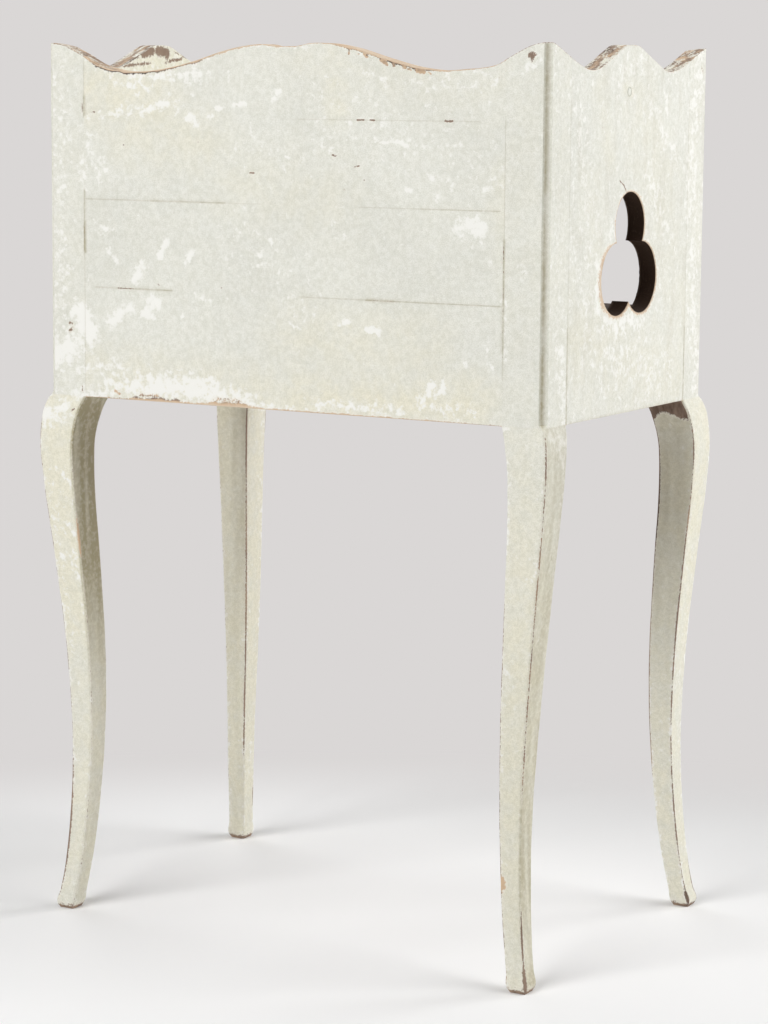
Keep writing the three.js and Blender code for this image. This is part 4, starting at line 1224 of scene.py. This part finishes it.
# Bare wood of a leg off its arrises: sole and top, under the case, inside it and on sawn ends
def bare_leg(made, node, places, outer, inner):
    x, y, z = places.T
    top = np.minimum(back_top(x), side_top(y)) - z
    ends = [edge_wear(z, 0.95, 3.2), 0.55 * near(z, 9), 0.6 * near(top, 0.9)]
    wear, tone = np.maximum.reduce([made["wear"], *ends]), made["tone"]
    inward = (np.minimum(*np.abs(inner)) < SKIN) & (np.minimum(*np.abs(outer)) > 1.5)
    under = UNDER_CASE.get(node, 0) * ramp(z + 5 * rough(places, (9, 9, 200), 31), KNEE - 22, KNEE - 5)
    bare_top = inward & (z < KNEE + 2) & (under > 0.3)
    wear = np.where(bare_top, np.maximum(wear, under), wear)
    tone = np.where(bare_top, 0.7, tone)
    sawn = top < CROWN_ARRIS / 2
    wear = np.where(sawn, 0.56 + 0.2 * rough(places, (3, 3, 9), 19), wear)
    tone = np.where(sawn, 0.3 + 0.4 * rough(places, (4, 4, 9), 23), tone)
    inside = inward & (z > KNEE + 2) & (z < TRAY_TOP - 1)
    made["wear"] = np.where(inside, 1.0, wear)
    made["tone"] = np.where(inside, LEG_INSIDE_TONE, tone)


# Dirt and painted shade of a leg: painted shade in the hollow beside the case, and dirt with painted shade on
# two faces below it, darker towards the case
def leg_dirt_and_shade(node, places, outer, leftward, backward):
    z = places[:, 2]
    off_x, off_y = np.abs(outer)
    turn = np.degrees(np.arctan2(off_y, np.maximum(off_x, 1e-6))) - 45
    # Painted shade in the hollow of the cove, darkest a little to one side of its middle
    hollow = (np.hypot(off_x, off_y) < COVE + 0.4) & (z > KNEE - 0.5)
    deep = 0.62 * near(turn + 8, 20) + 0.1
    stain = np.where(hollow, deep * uneven(places * (0, 0, 1), 0.35, (9, 9, 24), 41), 0.0)
    streaks = uneven(places, 0.55, (5, 5, 90), 45)
    # Dirt with painted shade on two faces, darker towards the case above, where its shade falls
    left_high, left_low, back_high, back_low = DIRT_AND_SHADE[node]
    up = ramp(z, 120, KNEE - 60)
    dirt_and_shade = np.maximum(
        (left_low + (left_high - left_low) * up) * leftward,
        (back_low + (back_high - back_low) * up) * backward,
    )
    return np.where(z < KNEE, dirt_and_shade * streaks, stain)


# White ground of a leg with a painted highlight: a pale band along its arrises and long flecks, less where it
# is dirty or shaded
def leg_ground_and_highlight(places, nearest, stain):
    z = places[:, 2]
    # A pale band along the arrises: white ground, and a painted highlight on their rounding
    along = (0.5 + 0.3 * rough(places, (8, 8, 30), 57)) * near(nearest, 3.2) * (z < KNEE)
    flecks = 0.12 + 0.24 * rough(places, (14, 14, 40), 51)
    chalk = np.maximum(along, flecks) * (1 - 0.9 * np.clip(stain, 0, 1))
    return np.where(z > KNEE, np.maximum(0.0, chalk - 0.2), chalk)


# Marks that a leg shares with the back or with the left side, and its own pale patches
def leg_marks(made, node, places, leftward):
    x, y, z = places.T
    (side_x, side_y), low = LEGS[node][0], z < KNEE
    back, left = y > Y1 - 1, x < X0 + 1
    if side_y > 0:
        made["chalk"] = made["chalk"] * low
        lift(made, "chalk", back * stroked(x, z, BACK_WHITES))
        marked(made, back * stroked(x, z, BACK_NICKS), NICK_TONE, strength=NICK_WEAR)
        lift(made, "stain", back * stroked(x, z, BACK_SEAMS))
    if side_x < 0:
        lift(made, "chalk", left * (z > KNEE) * (0.24 + 0.7 * stroked(y, z, SIDE_WHITES)))
        marked(made, left * stroked(y, z, SIDE_NICKS), NICK_TONE, strength=NICK_WEAR)
        lift(made, "stain", left * stroked(y, z, SIDE_SEAMS))
    if node == "leg_back_left":
        lift(made, "chalk", leftward * low * stroked(y, z, KNEE_WHITES))
        lift(made, "stain", leftward * low * stroked(y, z, LEG_CRACKS))
    if node == "leg_back_right":
        lift(made, "chalk", low * (1 - leftward) * stroked(x, z, LEG_WHITES))


def leg_fields(node, heights, corner):
    def fields(places):
        z = places[:, 2]
        made, nearest = arris_wear(node, places, heights, corner)
        outer, inner = (offsets(places, heights, corner[name]) for name in ("outer", "inner"))
        leftward = 1 - ramp(np.maximum(outer[0], inner[0]), 1, 3)
        backward = 1 - ramp(-np.minimum(outer[1], inner[1]), 1, 3)
        bare_leg(made, node, places, outer, inner)
        made["stain"] = leg_dirt_and_shade(node, places, outer, leftward, backward)
        made["chalk"] = leg_ground_and_highlight(places, nearest, made["stain"])
        leg_marks(made, node, places, leftward)
        cool = 0.5 * ramp(z, 200, 400) * (node == "leg_back_left")
        made["cream"] = np.where(z > KNEE, 0.1, 0.75 - cool + 0.35 * rough(places, (30, 30, 90), 61))
        return made

    return fields


def leg(node):
    side_x, side_y = LEGS[node][0]
    heights, rows, corner = leg_mesh(node, side_x, side_y)
    spots, around = rows.reshape(-1, 3), rows.shape[1]
    here = np.arange(len(spots)).reshape(len(heights), around)
    after = np.roll(here, -1, 1)
    faces = np.stack([here[:-1], after[:-1], after[1:], here[1:]], -1).reshape(-1, 4).tolist()
    spots, top_faces = leg_crown(spots, here[-1, 0], around)
    spots, foot_faces = leg_foot(spots, around)
    faces += top_faces + foot_faces
    if side_x * side_y < 0:
        faces = [face[::-1] for face in faces]
    piece(node, spots, faces, PAINT["Z"], leg_fields(node, heights, corner), "painted_wood")


# Space between a front board or the tray and the posts
FREE = 0.3


# Painted boards that lie flat or stand in front, with plain worn edges
def plain_fields(low, high, inner=None, worn=0.56):
    def fields(spots):
        off = np.sort(np.minimum(spots - low, high - spots), axis=1)
        arris = np.hypot(off[:, 0], off[:, 1])
        wear = worn * uneven(spots, 0.25, (16, 16, 16), 71) * near(arris, 1.8)
        tone = np.full(len(spots), 0.4)
        if inner is not None:
            bare = inner(spots)
            wear = np.where(bare, 1.0, wear)
            tone = np.where(bare, BACK_INSIDE_TONE, tone)
        chalk = 0.26 + 0.22 * rough(spots, (38, 38, 38), 81)
        cream = 0.5 + 0.4 * rough(spots, (60, 60, 60), 91)
        return {"wear": wear, "tone": tone, "chalk": chalk, "cream": cream}

    return fields


# The same rounding of all edges of a board
def even(radius):
    return lambda u, v: radius + 0 * u


def tray_top():
    low, high = TRAY
    inner_x, inner_y = POST_X - FREE, POST_Y - FREE
    us = grid_lines([low[0], MID_X - inner_x, MID_X + inner_x, high[0]], 0.9, step=3)
    vs = grid_lines([low[1], MID_Y - inner_y, MID_Y + inner_y, high[1]], 0.9, step=3)

    def keep(u, v):
        return ~((np.abs(u - MID_X) > inner_x) & (np.abs(v - MID_Y) > inner_y))

    flat = (((1, 0, 0), (0, 1, 0), (0, 0, 1)), (0, 0, (low[2] + high[2]) / 2))
    fields = plain_fields(low, high, inner=lambda at: at[:, 2] < low[2] + 1)
    painted_board("tray_top", Net(us, vs, keep=keep), high[2] - low[2], even(0.6), flat, "X", fields)


# A painted board that faces the front
def front_board(node, net, low, high, radius, fields):
    stand = (((1, 0, 0), (0, 0, 1), (0, -1, 0)), (0, (low[1] + high[1]) / 2, 0))
    return painted_board(node, net, high[1] - low[1], even(radius), stand, "X", fields)


# Ends of both front rails, and the net of one between them
RAIL_LEFT, RAIL_RIGHT = MID_X - POST_X + FREE, MID_X + POST_X - FREE


def rail_net(heights, warp=None):
    us, vs = (grid_lines(knots, 0.8, step=2.5) for knots in ([RAIL_LEFT, RAIL_RIGHT], heights))
    return Net(us, vs, warp)


# Height of the top rail's shaped lower edge
def rail_edge(x):
    return RAIL[0][2] + RAIL_WAVE * smooth(RAIL_WAVE_SHARES, 1 - np.abs(x - MID_X) / (RAIL_RIGHT - MID_X))


def front_top_rail():
    low, high = RAIL
    stretch_to = low[2] + RAIL_WAVE + 4
    bounds = np.array([RAIL_LEFT, low[1], -1e3]), np.array([RAIL_RIGHT, high[1], high[2]])
    plain = plain_fields(*bounds)

    def warp(u, v):
        share = (stretch_to - v) / (stretch_to - low[2])
        return np.where(v < stretch_to, stretch_to - share * (stretch_to - rail_edge(u)), v)

    def fields(at):
        made = plain(at)
        edge = np.hypot(at[:, 2] - rail_edge(at[:, 0]), np.minimum(at[:, 1] - low[1], high[1] - at[:, 1]))
        lift(made, "wear", 0.62 * uneven(at, 0.25, (16, 16, 16), 72) * near(edge, 2))
        behind = at[:, 1] > high[1] - 1
        made["wear"] = np.where(behind, 1.0, made["wear"])
        made["tone"] = np.where(behind, BACK_INSIDE_TONE, made["tone"])
        return made

    front_board("front_top_rail", rail_net([low[2], stretch_to, high[2]], warp), low, high, 0.8, fields)


def front_bottom_rail():
    low, high = corners("front_bottom_rail")
    bounds = np.array([RAIL_LEFT, *low[1:]]), np.array([RAIL_RIGHT, *high[1:]])
    fields = plain_fields(*bounds, inner=lambda at: (at[:, 1] > low[1] + 1.5) & (at[:, 2] < high[2] + 1))
    front_board("front_bottom_rail", rail_net([low[2], high[2]]), low, high, 0.8, fields)


# Box round the knob's hole in which the grid makes way for rings, and the hole's radius
HOLE_REACH, HOLE_RADIUS = 8, 4.15


def drawer_front():
    low, high = corners("drawer_front")
    middle = (sum(corners("drawer_knob")) / 2)[[0, 2]]
    hole = [at + way * HOLE_REACH for at in middle for way in (-1, 1)]
    us = grid_lines([low[0], *hole[:2], high[0]], 0.9)
    vs = grid_lines([low[2], *hole[2:], high[2]], 0.9)
    net = Net(us, vs)
    net.hole(hole, round_outline(middle, HOLE_RADIUS), 5, 0.8)
    plain = plain_fields(low, high, inner=lambda at: at[:, 1] > low[1] + 1.5, worn=0.62)

    def fields(at):
        made = plain(at)
        off = np.hypot(at[:, 0] - middle[0], at[:, 2] - middle[1])
        made["stain"] = 0.7 * near(off, 20) * (at[:, 1] < low[1] + 1)
        return made

    thing = front_board("drawer_front", net, low, high, 0.9, fields)
    for word in ("left", "right"):
        welded(frame["nodes"][f"drawer_side_{word}"])
        cut = thing.modifiers.new(f"dovetails_{word}", "BOOLEAN")
        cut.operation, cut.solver = "DIFFERENCE", "MANIFOLD"
        cut.object = frame["nodes"][f"drawer_side_{word}"]


# A turned shape about an axis along X or Y: rows of (distance along, radius)
def turned(node, profile, start, axis, way, material, slot, sides):
    along, radius = np.array(profile, float).T
    turns = np.linspace(0, 2 * math.pi, sides, endpoint=False)
    first, second = ((1, 2) if axis == 0 else (0, 2))
    rings = []
    for reach, size in zip(along, radius):
        ring = np.tile(np.array(start, float), (sides, 1))
        ring[:, axis] += way * reach
        ring[:, first] += size * np.cos(turns)
        ring[:, second] += size * np.sin(turns)
        rings.append(ring)
    spots = np.concatenate(rings)
    ids = np.arange(len(spots)).reshape(len(rings), sides)
    after = np.roll(ids, -1, 1)
    faces = np.stack([ids[:-1], after[:-1], after[1:], ids[1:]], -1).reshape(-1, 4).tolist()
    faces += [ids[0, ::-1].tolist(), ids[-1].tolist()]
    if way * (1 if axis == 0 else -1) < 0:
        faces = [face[::-1] for face in faces]
    piece(node, spots, faces, material, unworn, slot, sink=lambda at: 0.0)


# Turned pieces have no wear of their own
def unworn(spots):
    return {"wear": 0.0}


KNOB_SHARES = [
    (0, 0.62), (0.1, 0.64), (0.2, 0.46), (0.36, 0.42), (0.5, 0.62), (0.62, 0.9), (0.74, 1),
    (0.86, 0.94), (0.95, 0.66), (1, 0.02),
]


def knob():
    low, high = corners("drawer_knob")
    front = corners("drawer_front")[0][1]
    reach, radius, depth = front - low[1], (high[0] - low[0]) / 2, high[1] - front
    steps = np.linspace(0, len(KNOB_SHARES) - 1, 46)
    outs, sizes = (smooth(list(enumerate(shares)), steps) for shares in zip(*KNOB_SHARES))
    outline = zip(outs * reach + 0.05, np.clip(sizes, 0.01, 1) * radius)
    profile = [(-depth + 0.3, 3.4), (-depth + 0.8, 4), (-0.2, 4), *outline]
    middle = (low + high) / 2
    turned("drawer_knob", profile, (middle[0], front, middle[2]), 1, -1, BARE["Y"], "bare_wood", 64)


# Pegs: a rounded end that stands a little proud, and the shank behind it. Those of the tray are
# painted over.
def pegs():
    places = {"peg_tray_left": (0, -1), "peg_tray_right": (0, 1)}
    for rail, word in itertools.product(("top", "bottom"), ("left", "right")):
        places[f"peg_{rail}_rail_{word}"] = (1, -1)
    for node, (axis, way) in places.items():
        low, high = corners(node)
        start = (low + high) / 2
        start[axis] = low[axis] if way > 0 else high[axis]
        length, radius = (high - low)[axis], (high - low)[2] / 2
        profile = [
            (0, radius * 0.8), (1, radius), (length - 1.2, radius), (length - 0.5, radius * 0.97),
            (length + 0.1, radius * 0.85), (length + 0.2, radius * 0.6), (length + 0.25, radius * 0.25),
        ]
        turned(node, profile, start, axis, way, PEG if axis else PAINT["X"], "peg_wood", 28)


# CAD pieces that keep their shape: a wood of their own and slightly broken edges
SIDED = [
    f"{name}_{word}" for name in ("tray_cleat", "floor_cleat", "drawer_runner", "drawer_guide")
    for word in ("left", "right")
]
KEPT = [
    (BARE["X"], ["niche_floor", "tray_cleat_back", "drawer_stop_left", "drawer_stop_right"]),
    (BARE["Y"], SIDED),
    (DRAWER["X"], ["drawer_back", "drawer_bottom"]),
    (DRAWER["Y"], ["drawer_side_left", "drawer_side_right"]),
]
WELD_REACH, BROKEN_EDGE, BROKEN_ANGLE = 0.01, 0.4, 40


def welded(thing):
    if "welded" not in thing.modifiers:
        thing.modifiers.new("welded", "WELD").merge_threshold = WELD_REACH * MM


def kept_pieces():
    for material, nodes in KEPT:
        for node in nodes:
            thing = frame["nodes"][node]
            thing.data.materials.clear()
            thing.data.materials.append(material)
            welded(thing)
            if not node.startswith("drawer_side"):
                soften = thing.modifiers.new("broken_edges", "BEVEL")
                soften.width, soften.segments = BROKEN_EDGE * MM, 2
                soften.limit_method, soften.angle_limit = "ANGLE", math.radians(BROKEN_ANGLE)


BACKDROP = linear((218, 215, 214))
FLOOR_COLOUR = linear((243, 243, 243))
FLOOR_HALF = 6
# Part of the floor that shows as floor, in metres: how far its middle lies before the table seen
# from the camera, its radius and the width of its soft edge
POOL_MIDDLE, POOL_RADIUS, POOL_EDGE = 1.0, 1.42, 0.16


# Camera at the photo's view
def camera():
    data = bpy.data.cameras.new("photo_view")
    data.lens, data.sensor_width = LENS, SENSOR
    data.clip_end = 50
    thing = linked("photo_view", data)
    right, up, ahead = AXES
    turn = np.eye(4)
    turn[:3, 0], turn[:3, 1], turn[:3, 2], turn[:3, 3] = right, up, -ahead, CAMERA_PLACE
    thing.matrix_world = Matrix(turn.tolist())
    bpy.context.scene.camera = thing


# 1 for the camera's rays and those of reflections, 0 for the light that falls on the table
def seen(s):
    path = s.node("ShaderNodeLightPath")
    shiny = s.math("MAXIMUM", path.outputs["Is Glossy Ray"], path.outputs["Is Transmission Ray"])
    return s.math("MAXIMUM", path.outputs["Is Camera Ray"], shiny)


# Shows the backdrop's plain colour in place of what is lit, by a share
def show_backdrop(s, kind, share, lit, output):
    plain = s.node(kind, {"Color": BACKDROP})
    mixed = s.node("ShaderNodeMixShader", enumerate((share, lit, plain.outputs[0])))
    s.feed(s.tree.nodes[output].inputs["Surface"], mixed.outputs[0])


# Plain pale floor that turns into the backdrop's colour away from the table
def floor():
    s = Shader("pale_floor")
    ahead = AXES[2]
    flat = np.array([ahead[0], ahead[1]]) / math.hypot(ahead[0], ahead[1])
    parts = s.node("ShaderNodeSeparateXYZ", {0: s.place})
    across = s.math("ADD", parts.outputs["X"], float(flat[0]) * POOL_MIDDLE)
    deep = s.math("ADD", parts.outputs["Y"], float(flat[1]) * POOL_MIDDLE)
    off = s.math("SQRT", s.math("MULTIPLY_ADD", across, across, s.math("MULTIPLY", deep, deep)))
    far = s.step(off, POOL_RADIUS - POOL_EDGE, POOL_RADIUS + POOL_EDGE)
    s.finish(FLOOR_COLOUR, 0.9, 0.1)
    share = s.math("MULTIPLY", far, seen(s))
    show_backdrop(s, "ShaderNodeEmission", share, s.surface.outputs[0], "Material Output")
    mesh = bpy.data.meshes.new("floor")
    signs = ((-1, -1), (1, -1), (1, 1), (-1, 1))
    mesh.from_pydata([(x * FLOOR_HALF, y * FLOOR_HALF, 0) for x, y in signs], [], [(0, 1, 2, 3)])
    mesh.materials.append(s.material)
    thing = linked("floor", mesh)
    thing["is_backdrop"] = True


# Soft lamps: azimuth as the camera's, elevation, distance and size in metres, and power
LAMPS = {
    "side": (284, 40, 4.2, 2.8, 84),
    "back": (168, 36, 4.2, 2.8, 126),
    "low": (322, 16, 3.4, 1.6, 47),
    "fill": (60, 38, 4.0, 2.6, 30),
}
AIMED_AT = (0, 0, 0.4)
WORLD_LIGHT = 0.105


def lamps():
    for name, (azimuth, elevation, distance, size, power) in LAMPS.items():
        data = bpy.data.lights.new(name, "AREA")
        data.shape, data.size, data.energy = "DISK", size, power
        thing = linked(name, data)
        az, el = math.radians(azimuth), math.radians(elevation)
        away = np.array([math.sin(az) * math.cos(el), -math.cos(az) * math.cos(el), math.sin(el)])
        thing.location = away * distance + np.array(AIMED_AT)
        thing.rotation_euler = (math.pi / 2 - el, 0, az)


def world():
    made = bpy.data.worlds.new("studio")
    bpy.context.scene.world = made
    made.use_nodes = True
    s = Nodes(made.node_tree)
    light = s.tree.nodes["Background"]
    light.inputs["Color"].default_value = (1, 1, 1, 1)
    light.inputs["Strength"].default_value = WORLD_LIGHT
    show_backdrop(s, "ShaderNodeBackground", seen(s), light.outputs[0], "World Output")


camera()
back_boards()
side_panels()
for leg_node in LEGS:
    leg(leg_node)
tray_top()
front_top_rail()
front_bottom_rail()
drawer_front()
knob()
pegs()
kept_pieces()
floor()
lamps()
world()
bpy.context.scene.view_settings.view_transform = "Standard"

boxes = {"cad": cad_box, "visual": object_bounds()}
{name: [list(corner) for corner in box] for name, box in boxes.items()}
